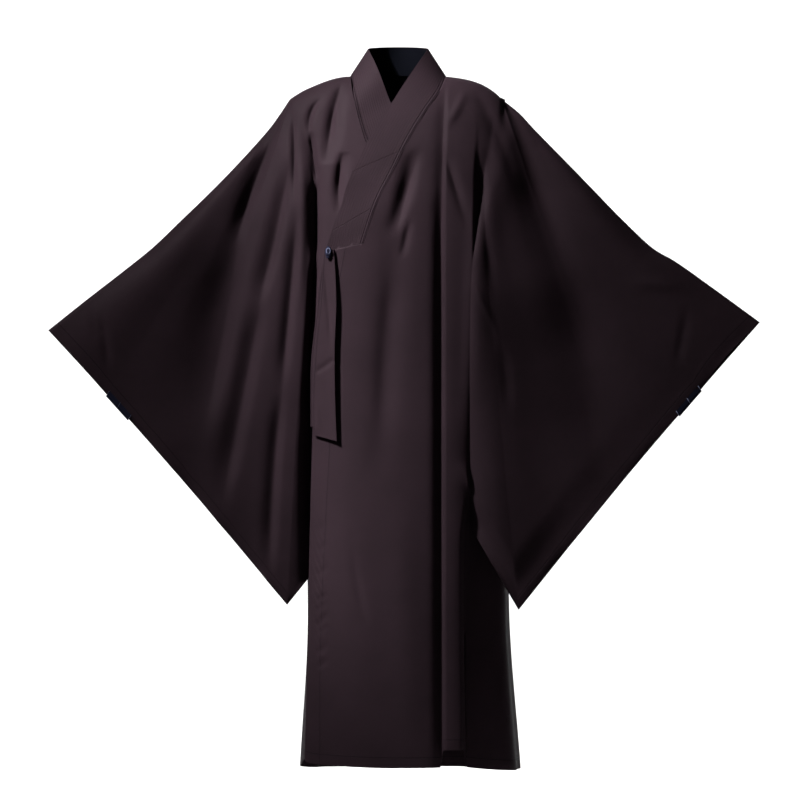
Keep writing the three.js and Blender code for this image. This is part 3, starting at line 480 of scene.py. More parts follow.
def back_neck(side, t):
    turn = np.asarray(t) * math.pi / 2
    x = NECK_CENTRE + side * NECK_HALF * np.sin(turn)
    point = body_point(side, angle_at(x, side), 0.0, NECK_SEAM_HEIGHT + 4 * np.cos(turn))
    point[..., 0] = x
    point[..., 1] = np.where(np.asarray(t) >= 1, 0, point[..., 1])
    return point


BAND_TOP = {"half": 56, "height": 58, "nape": 64, "stand": 50}


def band_top(turn):
    x = NECK_CENTRE + BAND_TOP["half"] * np.cos(turn)
    z = mix(BAND_TOP["height"], BAND_TOP["nape"], np.sin(turn))
    return spot(x, BAND_TOP["stand"] * np.sin(turn), z)


lap_edge_points = on_front(LAP_EDGE, LAP_GAP + 1)
lap_edge_points[-1, 1] = -46
lap_edge = line_through(np.vstack([lap_edge_points, band_top(0.0)]))
under_edge_points = on_front(UNDER_EDGE, 0)
under_edge_points[0, 1] = -38
under_edge = line_through(np.vstack([band_top(math.pi), under_edge_points]))
BAND_END = np.array([lap_edge(0.0), lap_seam(0.0)])


# The cut pieces of the robe, each as a grid of points on that form. The wearer's left front laps over the other
# one and is cut to the neckband's end at its top. Its hem is lifted at the long fold.

STEPS = 5  # columns of points from each named place on a hem to the next
SETTLE = 2.5  # a piece's columns run as its hem does from 1 / this of its length down

LAP_HEM = [-172, -152, -130, -105, -80, -54, -28, -2, 24, 48, 68, 86, 90, 99, 110, 120, 129, 136]
LAP_TOP_STEPS = {"end": 3, "band": 8, "shoulder": 6}
LAP_FREE_EDGE = table("z x", (-325, -132), (-420, -147), (-680, -157), (-960, -164), (-1300, -171))
HEM_LIFT = {"height": 33, "start": 84, "stop": 137, "rise": 6, "fall": 8}
# The side seam is left open from here to the hem. The last columns of points draw back from it.
VENT = {"top": -1034, "gap": 2.6, "opens_in": 14, "shares": (0.25, 0.55, 0.85, 1.0)}


def lapped_front():
    sleeve = SLEEVES["left"]
    heights = side_rows(sleeve)
    down = ((TIP_HEIGHT - heights) / (TIP_HEIGHT - sleeve["hem"]))[:, None]
    side = front_edge(sleeve, heights)
    ends, band, shoulder = LAP_TOP_STEPS["end"], LAP_TOP_STEPS["band"], LAP_TOP_STEPS["shoulder"]
    neck = ends + band
    last = neck + shoulder
    i = fine(list(range(last + 1)), STEPS)
    top = np.where(
        (i <= ends)[:, None],
        mix(BAND_END[0], BAND_END[1], np.clip(i / ends, 0, 1)[:, None]),
        np.where(
            (i <= neck)[:, None],
            lap_seam(np.clip((i - ends) / band, 0, 1)),
            shoulder_seam(1, np.clip((i - neck) / shoulder, 0, 1)),
        ),
    )
    hem_x = np.interp(i, range(last + 1), LAP_HEM)
    lift = smooth((hem_x - HEM_LIFT["start"]) / HEM_LIFT["rise"])
    lift = lift * smooth((HEM_LIFT["stop"] - hem_x) / HEM_LIFT["fall"])
    foot = hem_height(hem_x) + HEM_LIFT["height"] * lift
    z = mix(top[:, 2], foot, down)
    turn = long_fold_x(z)
    free = through(LAP_FREE_EDGE, "z", "x")(z)
    settle = smooth(down * SETTLE)
    neck_x = top[i == neck, 0][0]
    left = mix(free, turn, mix((top[:, 0] - BAND_END[0][0]) / (neck_x - BAND_END[0][0]),
                               (hem_x - LAP_HEM[0]) / (LAP_HEM[neck] - LAP_HEM[0]), settle))
    share = mix((i - neck) / shoulder, (hem_x - LAP_HEM[neck]) / (LAP_HEM[last] - LAP_HEM[neck]), settle)
    right = mix(turn, side[:, 0:1], share)
    x = np.where(i <= neck, left, right)
    grid = front_point(x, z, LAP_GAP)
    there = front_point(side[:, 0], side[:, 2], LAP_GAP)
    turned = np.clip(share, 0, 1) ** 3 * (side[:, 1] - there[:, 1])[:, None]
    grid[..., 1] += np.where(i <= neck, 0, turned)
    grid[0] = top
    grid[:, -1] = side
    last_ones = grid[:, -len(VENT["shares"]) :]
    opened = smooth((VENT["top"] - last_ones[..., 2]) / VENT["opens_in"]) * np.array(VENT["shares"])
    last_ones[..., 0] -= VENT["gap"] * opened
    return creased(grid, "left")


# The wearer's right front, under the lap, runs a little past the middle to a plain edge.
UNDER_HEM = [-176, -166, -154, -140, -124, -106, -86, -66, -42, -16, 8, 28, 44]
UNDER_FREE_EDGE = table("z x", (-262, 10), (-500, 34), (-1300, 44))
UNDER_NECK = 6  # the place on the hem that lies below the end of the shoulder seam


def under_front():
    sleeve = SLEEVES["right"]
    heights = side_rows(sleeve)
    down = ((TIP_HEIGHT - heights) / (TIP_HEIGHT - sleeve["hem"]))[:, None]
    side = front_edge(sleeve, heights)
    last = len(UNDER_HEM) - 1
    neck = UNDER_NECK
    i = fine(list(range(last + 1)), STEPS)
    top = np.where((i <= neck)[:, None], shoulder_seam(-1, np.clip(1 - i / neck, 0, 1)),
                   under_seam(np.clip((i - neck) / (last - neck), 0, 1)))
    hem_x = np.interp(i, range(last + 1), UNDER_HEM)
    z = mix(top[:, 2], hem_height(hem_x), down)
    settle = smooth(down * SETTLE)
    neck_x = top[i == neck, 0][0]
    free = through(UNDER_FREE_EDGE, "z", "x")(z)
    share = mix(i / neck, (hem_x - UNDER_HEM[0]) / (UNDER_HEM[neck] - UNDER_HEM[0]), settle)
    left = mix(side[:, 0:1], neck_x, share)
    right = mix(neck_x, free, mix((top[:, 0] - neck_x) / (top[-1, 0] - neck_x),
                                  (hem_x - neck_x) / (UNDER_HEM[-1] - neck_x), settle))
    x = np.where(i <= neck, left, right)
    grid = front_point(x, z)
    there = front_point(side[:, 0], side[:, 2])
    turned = np.clip(1 - share, 0, 1) ** 3 * (side[:, 1] - there[:, 1])[:, None]
    grid[..., 1] += np.where(i <= neck, turned, 0)
    grid[0] = top
    grid[:, 0] = side
    return creased(grid, "right")


# Each half of the back runs from the middle seam round its side to the side seam.
BACK_FOLDS = table("share depth reach", (0.2, 7, 0.09), (0.42, -9, 0.1), (0.6, 10, 0.09), (0.8, -3, 0.08))
BACK_HEM = -1303
BACK_STEPS = {"neck": 5, "shoulder": 6}
BACK_FOLDS_START = {"at": 0.16, "speed": 2.4}


def back_half(name):
    sleeve = SLEEVES[name]
    other = SLEEVES["left" if name == "right" else "right"]
    side = sleeve["side"]
    heights = side_rows(sleeve)
    own = ((TIP_HEIGHT - heights) / (TIP_HEIGHT - sleeve["hem"]))[:, None]
    # The middle seam's heights agree with the other half's
    across = np.linspace(0, 1, len(heights))
    even = across[:, None]
    neck, shoulder = BACK_STEPS["neck"], BACK_STEPS["shoulder"]
    total = neck + shoulder
    share = fine([i / total for i in range(total + 1)], STEPS)
    top = np.where((share * total <= neck)[:, None], back_neck(side, np.clip(share * total / neck, 0, 1)),
                   shoulder_seam(side, np.clip((share * total - neck) / shoulder, 0, 1)))
    down = mix(even, own, share)
    hem = mix(BACK_HEM, sleeve["hem"], share**6)
    z = mix(top[:, 2], hem, down)
    level = mix(TIP_HEIGHT, hem, down)
    edge = through(sleeve["back"], "z", "angle")(heights)[:, None]
    angle = mix(angle_at(top[:, 0], side), mix(90, edge, share), smooth(down * 5))
    angle = np.where(share == 1, edge, angle)
    grid = body_point(side, angle, level, z)
    inward = np.stack([middle_at(level) - grid[..., 0], -grid[..., 1]], axis=-1)
    inward /= np.maximum(np.linalg.norm(inward, axis=-1, keepdims=True), 1e-6)
    dip = np.zeros(grid.shape[:2])
    for row in BACK_FOLDS:
        dip += row["depth"] * bell((share - row["share"]) / row["reach"])
    dip *= smooth((down - BACK_FOLDS_START["at"]) * BACK_FOLDS_START["speed"]) * np.minimum(1, 6 * share)
    grid[..., :2] += inward * dip[..., None]
    grid[0] = top
    grid[:, -1] = back_edge(sleeve, heights)
    return grid


# Each sleeve is folded over the arm. A row of the table is a ray from the shoulder, and the numbers are folds.
# along runs from 0 at the wrist, by 1 at the lower corner, to 2 at the underarm.
CREST_RAYS = 8  # rays that start on the arm's line; the others start on the armhole
CREST_REACH = 160
MOUTH_RAYS = 4  # rays that end at the open part of the cuff
CUFF_STAND = 0.7
CUFF_WAVE = 0.3
LOWER_SEAM_BOW = 12
BODY_CLEARANCE = 14
SHOULDER_CLEARANCE = {"below": 40, "over": 90}
# How far each layer stands off the flat, over an arm's room, and how round it is beside the arm's line
ROOM = {"arm": 44, "wrist": 20, "start": 0.12, "fullness": 0.6, "leaves": 9}
ROUND = {"rays": 2.2, "start": 0.12, "more": 0.26, "from": 5, "over": 3}
# Each ray is drawn towards the ones beside it, so that none shows as a bend
EVEN = {"rounds": 90, "starts": 16}
APART = {"least": 2.4, "soft": 3, "far": 12}
RAY_FOLDS = {"left": 0.15, "right": 0.3, "fade": 0.55}
CREASE_FADE = {"rays": 2, "rows": 6}
EDGE_FADE = 1.4
RAYS = {
    "left": table(
        "along front back",
        (0, 0, 0), (0.06, 0, 0), (0.12, 0, 2), (0.18, 5, 6), (0.24, 7, 2), (0.33, -3, -8), (0.39, -9, -4),
        (0.45, -11, 10), (0.51, -9, 12), (0.57, -4, -3), (0.64, 6, -14), (0.71, 13, -6), (0.78, 8, 12),
        (0.85, -7, 14), (0.92, -12, -4), (1, -4, -12), (1.34, 9, -4), (1.67, 4, 2), (2, 0, 0),
    ),
    "right": table(
        "along front back",
        (0, 0, 0), (0.06, 0, 0), (0.12, -1, 3), (0.18, 2, 5), (0.24, 3, -2), (0.33, -5, -9), (0.39, -3, 2),
        (0.45, 13, -9), (0.51, 9, -8), (0.57, -12, 9), (0.64, 5, -2), (0.71, 15, -11), (0.78, -8, 6),
        (0.85, -10, 8), (0.92, 12, -9), (1, -6, 5), (1.34, -9, 6), (1.67, -3, 2), (2, 0, 0),
    ),
}


def keep_off_body(point, share):
    middle = middle_at(point[..., 2])
    off = point[..., 0] - middle
    fall = np.maximum(20, shoulder_height(point[..., 0]) - point[..., 2])
    stand = np.where(point[..., 1] > 0, back_drape(fall), front_drape(fall))
    size = np.abs(off / half_at(point[..., 2])) ** FULLNESS + np.abs(point[..., 1] / stand) ** FULLNESS
    size = size ** (1 / FULLNESS)
    wanted = 1 + BODY_CLEARANCE * share / np.hypot(off, point[..., 1])
    grow = np.where(size < wanted, wanted / np.maximum(size, 1e-6), 1)
    point[..., 0] = middle + off * grow
    point[..., 1] *= grow


def keep_apart(front, back, least):
    gap = back[..., 1] - front[..., 1]
    soft = APART["soft"]
    more = np.where(gap - least > APART["far"], 0, np.log1p(np.exp(np.minimum((least - gap) / soft, 50))) * soft)
    front[..., 1] -= more / 2
    back[..., 1] += more / 2


def sleeve_layers(name):
    """Two grids of points, front and back: a row for each ray, a column for each step out from the shoulder."""
    sleeve = SLEEVES[name]
    side, low = sleeve["side"], under_arm(sleeve)
    rays = RAYS[name]
    last = len(rays) - 1
    arm = line_through([(row["x"], row["y"], row["z"]) for row in sleeve["arm_top"]])
    wrist, corner = arm(1.0), np.array(sleeve["corner"], float)
    underarm = back_edge(sleeve, np.array(float(low)))
    crest_end = CREST_REACH / arm.length
    m = fine(list(range(last + 1)), RAY_STEPS)[:, None]
    t = fine([i / ROWS_OUT for i in range(ROWS_OUT + 1)], ROW_STEPS)[None, :]
    numbered = [dict(row, m=k) for k, row in enumerate(rays)]
    along = np.interp(m, range(last + 1), column(rays, "along"))
    wave = through(numbered, "m", "front")(m) - through(numbered, "m", "back")(m)
    far = np.where((along <= 1)[..., None], mix(wrist, corner, along[..., None]),
                   mix(corner, underarm, (along - 1)[..., None]))
    hollow = np.sin(np.pi * np.minimum(1, along)) * sleeve["hollow"]
    far[..., 0] -= side * hollow
    far[..., 2] += hollow
    far[..., 1] -= wave * CUFF_WAVE + np.where(along > 1, LOWER_SEAM_BOW * np.sin(np.pi * (along - 1)), 0)
    opened = np.where(m < MOUTH_RAYS, np.sin(np.pi * np.clip(m / MOUTH_RAYS, 0, 1)), 0)
    crest_line = arm(mix(crest_end, 1, t))
    start = arm(crest_end)
    layers = []
    for way, edge, folds in ((-1, front_edge, FRONT_CREASES[name]), (1, back_edge, BACK_CREASES[name])):
        word = "front" if way < 0 else "back"
        rim = far.copy()
        rim[..., 1] += way * (CUFF_STAND + opened * sleeve["mouth"][word])
        if way < 0:
            rim[..., 0] -= side * opened * sleeve["mouth"]["tuck"]
        near_crest = arm(mix(crest_end, 0, np.minimum(1, m / CREST_RAYS)))
        near_hole = edge(sleeve, mix(TIP_HEIGHT, ARMHOLE_TURN, np.clip((m - CREST_RAYS) / RAYS_AT_ARMHOLE, 0, 1)))
        near = np.where((m <= CREST_RAYS)[..., None], near_crest, near_hole)
        grid = mix(near, rim, t[..., None])
        share = m / last
        hole_line = edge(sleeve, mix(ARMHOLE_TURN, low, t))
        grid += (crest_line - mix(start, wrist, t[..., None])) * ((1 - share) ** 2)[..., None]
        grid += (hole_line - mix(hole_line[:, :1], underarm, t[..., None])) * (share**2)[..., None]
        start_at = ROUND["start"] + ROUND["more"] * smooth((m - ROUND["from"]) / ROUND["over"])
        off = np.minimum(1, m * (t + start_at) / ROUND["rays"])
        rounded = np.sqrt(1 - (1 - off) ** 2)
        swell = np.sin(np.pi * mix(ROOM["start"], 1, t)).clip(0) ** ROOM["fullness"]
        room = mix(ROOM["arm"], ROOM["wrist"], t) * swell * (1 - share) ** ROOM["fullness"]
        fold = through(numbered, "m", word)(m) * RAY_FOLDS[name] * np.sin(np.pi * t).clip(0) ** RAY_FOLDS["fade"]
        leaves = np.sin(np.pi / 2 * np.minimum(1, t * ROOM["leaves"]))
        grid[..., 1] += way * leaves * rounded * (room - fold)
        even = smooth(t[:, 1:-1] * EVEN["starts"])
        for _ in range(EVEN["rounds"]):
            beside = (grid[:-2, 1:-1, 1] + grid[2:, 1:-1, 1]) / 2 - grid[1:-1, 1:-1, 1]
            grid[1:-1, 1:-1, 1] += beside * even / 2
        grid[0] = crest_line[0]
        grid[:, 0] = near[:, 0]
        grid[-1] = hole_line[0]
        dips = creases(folds, grid[..., 0], grid[..., 2]) * smooth(m / CREASE_FADE["rays"])
        dips = dips * smooth((shoulder_height(grid[..., 0]) - grid[..., 2]) / CREASES_START)
        if way > 0:
            dips = dips * smooth(t * CREASE_FADE["rows"]) * smooth((last - m) / CREASE_FADE["rays"])
        dips[:, -1] = 0
        grid[..., 1] -= way * dips
        layers.append(grid)
    front, back = layers
    inner = np.clip((last - m) / EDGE_FADE, 0, 1) * np.clip(t * ROWS_OUT / EDGE_FADE, 0, 1) * (t < 1)
    moved = back.copy()
    keep_off_body(moved, inner)
    below_tip = TIP_HEIGHT - SHOULDER_CLEARANCE["below"] - back[..., 2]
    below_tip = smooth(below_tip / SHOULDER_CLEARANCE["over"])[..., None]
    back[1:-1, 1:-1] = mix(back, moved, below_tip)[1:-1, 1:-1]
    inside_front, inside_back = front[1:-1, 1:-1], back[1:-1, 1:-1]
    keep_apart(inside_front, inside_back, APART["least"])
    return front, back


LAP = lapped_front()
UNDER = under_front()
BACKS = {name: back_half(name) for name in SLEEVES}
LAYERS = {name: sleeve_layers(name) for name in SLEEVES}


def normals_of(points, faces):
    corner = [points[faces[:, k]] for k in range(4)]
    normal = np.cross(corner[2] - corner[0], corner[3] - corner[1])
    total = np.zeros_like(points)
    for k in range(4):
        np.add.at(total, faces[:, k], normal)
    return total


SHARED = {}


def share_seams(*sheets):
    """Adds up the normals of pieces that meet, so that the cloth runs on smoothly over a seam."""
    for grid, turned in sheets:
        points = grid.reshape(-1, 3)
        faces = grid_faces(*grid.shape[:2], turned=turned)
        for key, normal in zip(map(tuple, np.round(points, 1)), normals_of(points, faces)):
            SHARED.setdefault(key, np.zeros(3))
            SHARED[key] += normal


share_seams(
    (LAP, True),
    (UNDER, True),
    *((grid, name == "right") for name, grid in BACKS.items()),
    *((front, name == "left") for name, (front, back) in LAYERS.items()),
    *((back, name == "right") for name, (front, back) in LAYERS.items()),
)


# The cloth: a plain dark poly-cotton, close woven, with a low sheen, a faint slub and a soft crumple. Its hems
# and facings are stitched down, which draws them in a little along the line.


def node(tree, kind, **values):
    made = tree.nodes.new(kind)
    for name, value in values.items():
        if name in made.inputs:
            made.inputs[name].default_value = value
        else:
            setattr(made, name, value)
    return made


def maths(tree, operation, *values, clamp=False):
    made = node(tree, "ShaderNodeMath", operation=operation, use_clamp=clamp)
    for socket, value in zip(made.inputs, values):
        if isinstance(value, (int, float)):
            socket.default_value = value
        else:
            tree.links.new(value, socket)
    return made.outputs["Value"]


def line_at(tree, distance, offset, half_width):
    """1 on a line this far in from an edge, and 0 off it."""
    off = maths(tree, "ABSOLUTE", maths(tree, "SUBTRACT", distance, offset))
    return maths(tree, "SUBTRACT", 1.0, maths(tree, "DIVIDE", off, half_width), clamp=True)


# Sizes in metres on the cloth: rows of stitches, the ripples of a facing, and the neckband's joins and quilting
STITCHES = {"half": 0.0011, "drawn": 0.009}
RIPPLES = {"slant": 1.3, "space": 0.023, "wander": 9.0, "height": 0.33, "reach": 0.17}
BAND_JOINS = {"at": (0.073, 0.192), "slant": 0.5, "half": 0.0012}
QUILTING = {"threads": 0.0034, "thread_depth": 0.12, "round": 0.5}


def cloth_material(name, colour, shade, roughness, side_lines=(), hem_lines=(), facing=None, quilt=None):
    """Woven cloth. colour and shade are the ends of its slight variation, and the lines are rows of stitches.

    side_lines are distances in metres from the piece's side edge and hem_lines from its hem. facing is the
    width of a turned-in edge with diagonal puckers, and quilt is the space between rows of quilting.
    """
    material = bpy.data.materials.new(name)
    material.use_nodes = True
    tree = material.node_tree
    link = tree.links.new
    surface = tree.nodes["Principled BSDF"]
    surface.inputs["Roughness"].default_value = roughness
    surface.inputs["Specular IOR Level"].default_value = 0.04
    surface.inputs["Sheen Weight"].default_value = 0.02
    surface.inputs["Sheen Roughness"].default_value = 0.4
    surface.inputs["Sheen Tint"].default_value = (1.0, 0.78, 0.9, 1)
    place = node(tree, "ShaderNodeTexCoord").outputs["Object"]
    weave_at = node(tree, "ShaderNodeUVMap", uv_map="weave").outputs["UV"]
    edge_at = node(tree, "ShaderNodeSeparateXYZ")
    link(node(tree, "ShaderNodeUVMap", uv_map="edge").outputs["UV"], edge_at.inputs["Vector"])
    side, hem = edge_at.outputs["X"], edge_at.outputs["Y"]

    slub = node(tree, "ShaderNodeTexNoise", Scale=7.0, Detail=6.0, Roughness=0.65)
    link(place, slub.inputs["Vector"])
    crumple = node(tree, "ShaderNodeTexNoise", Scale=26.0, Detail=3.0, Roughness=0.5)
    link(place, crumple.inputs["Vector"])
    pucker = node(tree, "ShaderNodeTexNoise", Scale=95.0, Detail=1.0)
    link(place, pucker.inputs["Vector"])
    threads = node(tree, "ShaderNodeTexWave", bands_direction="X", Scale=520.0, Distortion=1.5, Detail=1.0)
    link(weave_at, threads.inputs["Vector"])

    stitches, drawn = [], []
    for distance, offsets in ((side, side_lines), (hem, hem_lines)):
        for offset in offsets:
            stitches.append(line_at(tree, distance, offset, STITCHES["half"]))
            drawn.append(line_at(tree, distance, offset, STITCHES["drawn"]))
    lines, pulls = 0.0, 0.0
    for one, two in zip(stitches, drawn):
        lines = maths(tree, "MAXIMUM", one, lines)
        pulls = maths(tree, "MAXIMUM", two, pulls)

    tone = node(tree, "ShaderNodeMix", data_type="RGBA")
    tone.inputs["A"].default_value = (*shade, 1)
    tone.inputs["B"].default_value = (*colour, 1)
    spread = node(tree, "ShaderNodeMapRange")
    spread.inputs["From Min"].default_value = 0.3
    spread.inputs["From Max"].default_value = 0.7
    link(slub.outputs["Fac"], spread.inputs["Value"])
    link(spread.outputs["Result"], tone.inputs["Factor"])
    colour_out = tone.outputs["Result"]

    fine_bump = node(tree, "ShaderNodeBump", Strength=0.15, Distance=0.0002)
    link(threads.outputs["Fac"], fine_bump.inputs["Height"])
    soft_bump = node(tree, "ShaderNodeBump", Strength=0.5, Distance=0.0016)
    link(crumple.outputs["Fac"], soft_bump.inputs["Height"])
    link(fine_bump.outputs["Normal"], soft_bump.inputs["Normal"])
    normal = soft_bump.outputs["Normal"]
    if stitches:
        sewn = node(tree, "ShaderNodeBump", Strength=0.45, Distance=0.0012)
        height = maths(tree, "SUBTRACT", maths(tree, "MULTIPLY", pulls, pucker.outputs["Fac"]), lines)
        link(height, sewn.inputs["Height"])
        link(normal, sewn.inputs["Normal"])
        normal = sewn.outputs["Normal"]
        # Painted shade: the colour is darkened along each row of stitches, for the shade in the groove that the
        # stitches draw in.
        stitch_groove_shade = node(tree, "ShaderNodeMix", data_type="RGBA", blend_type="MULTIPLY")
        stitch_groove_shade.inputs["B"].default_value = (0.45, 0.45, 0.5, 1)
        link(maths(tree, "MULTIPLY", lines, 0.8), stitch_groove_shade.inputs["Factor"])
        link(colour_out, stitch_groove_shade.inputs["A"])
        colour_out = stitch_groove_shade.outputs["Result"]
    if facing:
        skewed = maths(tree, "ADD", maths(tree, "MULTIPLY", side, RIPPLES["slant"]), hem)
        way = maths(tree, "MULTIPLY", skewed, 2 * math.pi / RIPPLES["space"])
        wander = maths(tree, "MULTIPLY", slub.outputs["Fac"], RIPPLES["wander"])
        ripple = maths(tree, "SINE", maths(tree, "ADD", way, wander))
        patchy = maths(tree, "MULTIPLY", line_at(tree, hem, RIPPLES["height"], RIPPLES["reach"]), slub.outputs["Fac"])
        mask = maths(tree, "MULTIPLY", line_at(tree, side, facing * 0.6, facing * 0.55), ripple)
        mask = maths(tree, "MULTIPLY", mask, patchy)
        rippled = node(tree, "ShaderNodeBump", Strength=0.6, Distance=0.0016)
        link(mask, rippled.inputs["Height"])
        link(normal, rippled.inputs["Normal"])
        normal = rippled.outputs["Normal"]
    if quilt:
        for along in BAND_JOINS["at"]:
            skewed = maths(tree, "ADD", hem, maths(tree, "MULTIPLY", side, BAND_JOINS["slant"]))
            slanted = maths(tree, "SUBTRACT", skewed, along)
            lines = maths(tree, "MAXIMUM", line_at(tree, slanted, 0.0, BAND_JOINS["half"]), lines)
        join = node(tree, "ShaderNodeBump", Strength=0.9, Distance=0.0012, invert=True)
        link(lines, join.inputs["Height"])
        link(normal, join.inputs["Normal"])
        normal = join.outputs["Normal"]
        rows = maths(tree, "ABSOLUTE", maths(tree, "SINE", maths(tree, "MULTIPLY", side, math.pi / quilt)))
        zigzag = maths(tree, "PINGPONG", side, quilt)
        way = maths(tree, "MULTIPLY", maths(tree, "ADD", hem, zigzag), 2 * math.pi / QUILTING["threads"])
        slant = maths(tree, "MULTIPLY", maths(tree, "SINE", way), QUILTING["thread_depth"])
        raised = maths(tree, "ADD", maths(tree, "POWER", rows, QUILTING["round"]), slant)
        quilted = node(tree, "ShaderNodeBump", Strength=0.45, Distance=0.0009)
        link(raised, quilted.inputs["Height"])
        link(normal, quilted.inputs["Normal"])
        normal = quilted.outputs["Normal"]
    link(colour_out, surface.inputs["Base Color"])
    link(normal, surface.inputs["Normal"])
    return material


PLUM, DEEP_PLUM = (0.040, 0.0246, 0.0318), (0.032, 0.0200, 0.0256)
NAVY, DEEP_NAVY = (0.022, 0.023, 0.044), (0.014, 0.015, 0.032)
FRONT_CLOTH = cloth_material("front_cloth", PLUM, DEEP_PLUM, 0.6, side_lines=[0.04], hem_lines=[0.019], facing=0.04)
SEAMED_CLOTH = cloth_material("seamed_cloth", PLUM, DEEP_PLUM, 0.6, side_lines=[0.0008], hem_lines=[0.019])
SLEEVE_CLOTH = cloth_material("sleeve_cloth", PLUM, DEEP_PLUM, 0.6, hem_lines=[0.022])
BAND_CLOTH = cloth_material("band_cloth", PLUM, DEEP_PLUM, 0.62, side_lines=[0.0015, 0.006], quilt=0.0048)
TIE_CLOTH = cloth_material("tie_cloth", PLUM, DEEP_PLUM, 0.6, side_lines=[0.003])
# Painted shade: a near-black navy lining on the inner faces at the neck, which stands for the shade inside the neck
# opening.
NECK_SHADE_LINING = cloth_material("shade_lining", (0.0095, 0.0105, 0.017), (0.007, 0.008, 0.013), 0.7)
TACK_CLOTH = cloth_material("tack_cloth", NAVY, DEEP_NAVY, 0.7)
WALL = 1.2


def shell(name, points, faces, weave, edge, wall, material, nodes, shade_lining=None, shade_above=None):
    """A closed piece of cloth: the middle surface moved half the wall's thickness each way, and its rim."""
    normal = normals_of(points, faces)
    for i, key in enumerate(map(tuple, np.round(points, 1))):
        if key in SHARED:
            normal[i] = SHARED[key]
    length = np.linalg.norm(normal, axis=1, keepdims=True)
    normal /= np.where(length > 0, length, 1)
    count = len(points)
    both = np.concatenate([points + normal * wall / 2, points - normal * wall / 2])
    edges = np.concatenate([faces[:, [k, (k + 1) % 4]] for k in range(4)])
    edges = edges[edges[:, 0] != edges[:, 1]]
    known = set(map(tuple, edges.tolist()))
    rim = sorted((a, b) for a, b in known if (b, a) not in known)
    rim_faces = [(b, a, count + a, count + b) for a, b in rim]
    every = [tuple(face) for face in faces] + [tuple(count + i for i in face[::-1]) for face in faces]
    every = [tuple(dict.fromkeys(face)) for face in every] + rim_faces
    mesh = bpy.data.meshes.new(name)
    mesh.from_pydata((both * MM).tolist(), [], every)
    corners = np.empty(len(mesh.loops), int)
    mesh.loops.foreach_get("vertex_index", corners)
    for layer_name, flat in (("weave", weave), ("edge", edge)):
        layer = mesh.uv_layers.new(name=layer_name)
        layer.data.foreach_set("uv", (np.concatenate([flat, flat]) * MM)[corners].ravel())
    mesh.materials.append(material)
    # Painted shade: the inner faces take the near-black lining, only above a given height if one is set.
    if shade_lining:
        mesh.materials.append(shade_lining)
        inner = np.zeros(len(mesh.polygons), int)
        inner[len(faces) : 2 * len(faces)] = 1 if shade_above is None else points[faces[:, 0], 2] > shade_above
        mesh.polygons.foreach_set("material_index", inner)
    mesh.polygons.foreach_set("use_smooth", [True] * len(mesh.polygons))
    mesh.normals_split_custom_set(np.concatenate([normal, -normal])[corners].tolist())
    mesh.update()
    piece = bpy.data.objects.new(name, mesh)
    bpy.context.scene.collection.objects.link(piece)
    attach(piece, "root")
    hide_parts(*nodes)
    return piece


def panel(name, grid, turned, material, node_name, side_from=0, wall=WALL, shade_lining=None, shade_above=None):
    """A piece of cloth from a grid of points. side_from is the column that its side edge's distance runs from."""
    weave = lengths(grid)
    across = np.abs(weave[..., 0] - weave[:, [side_from], 0])
    edge = np.stack([across, weave[..., 1] - weave[-1:, :, 1]], axis=-1)
    flat = [a.reshape(-1, a.shape[-1]) for a in (grid, weave, edge)]
    return shell(name, flat[0], grid_faces(*grid.shape[:2], turned=turned), flat[1], flat[2], wall, material,
                 [node_name], shade_lining, shade_above)


# The wearer's left front, cut in one piece from the shoulder to the hem, with a turned-in facing down its free
# edge. It is sewn to the neckband, the shoulder, the sleeve and the back.

lap = panel("lapped_front", LAP, True, FRONT_CLOTH, "front_left_lapped")


# The wearer's right front, in the same cloth, with the same facing and hem. The lap hides it but for the part
# beside the neckband and a strip down the side. It is sewn to the neckband, the shoulder, the sleeve and the back.

under = panel("under_front", UNDER, True, FRONT_CLOTH, "front_right_under", side_from=-1)


# The back, in two halves of the same cloth with a plain seam down the middle. Each runs round the wearer's side
# to the side seam. Inside the neck both carry painted shade: a near-black navy lining, as far down as the
# neckband's opening shows.

NECK_SHADE_END = -160
backs = {
    name: panel(f"back_{name}_cloth", grid, name == "right", SEAMED_CLOTH, f"back_{name}",
                shade_lining=NECK_SHADE_LINING, shade_above=NECK_SHADE_END)
    for name, grid in BACKS.items()
}


# The sleeves, wide and square. Each is one piece of the same cloth, folded over the arm, set into the armhole,
# and sewn along its lower edge and the lower part of the cuff. The upper part of the cuff is open and hemmed.

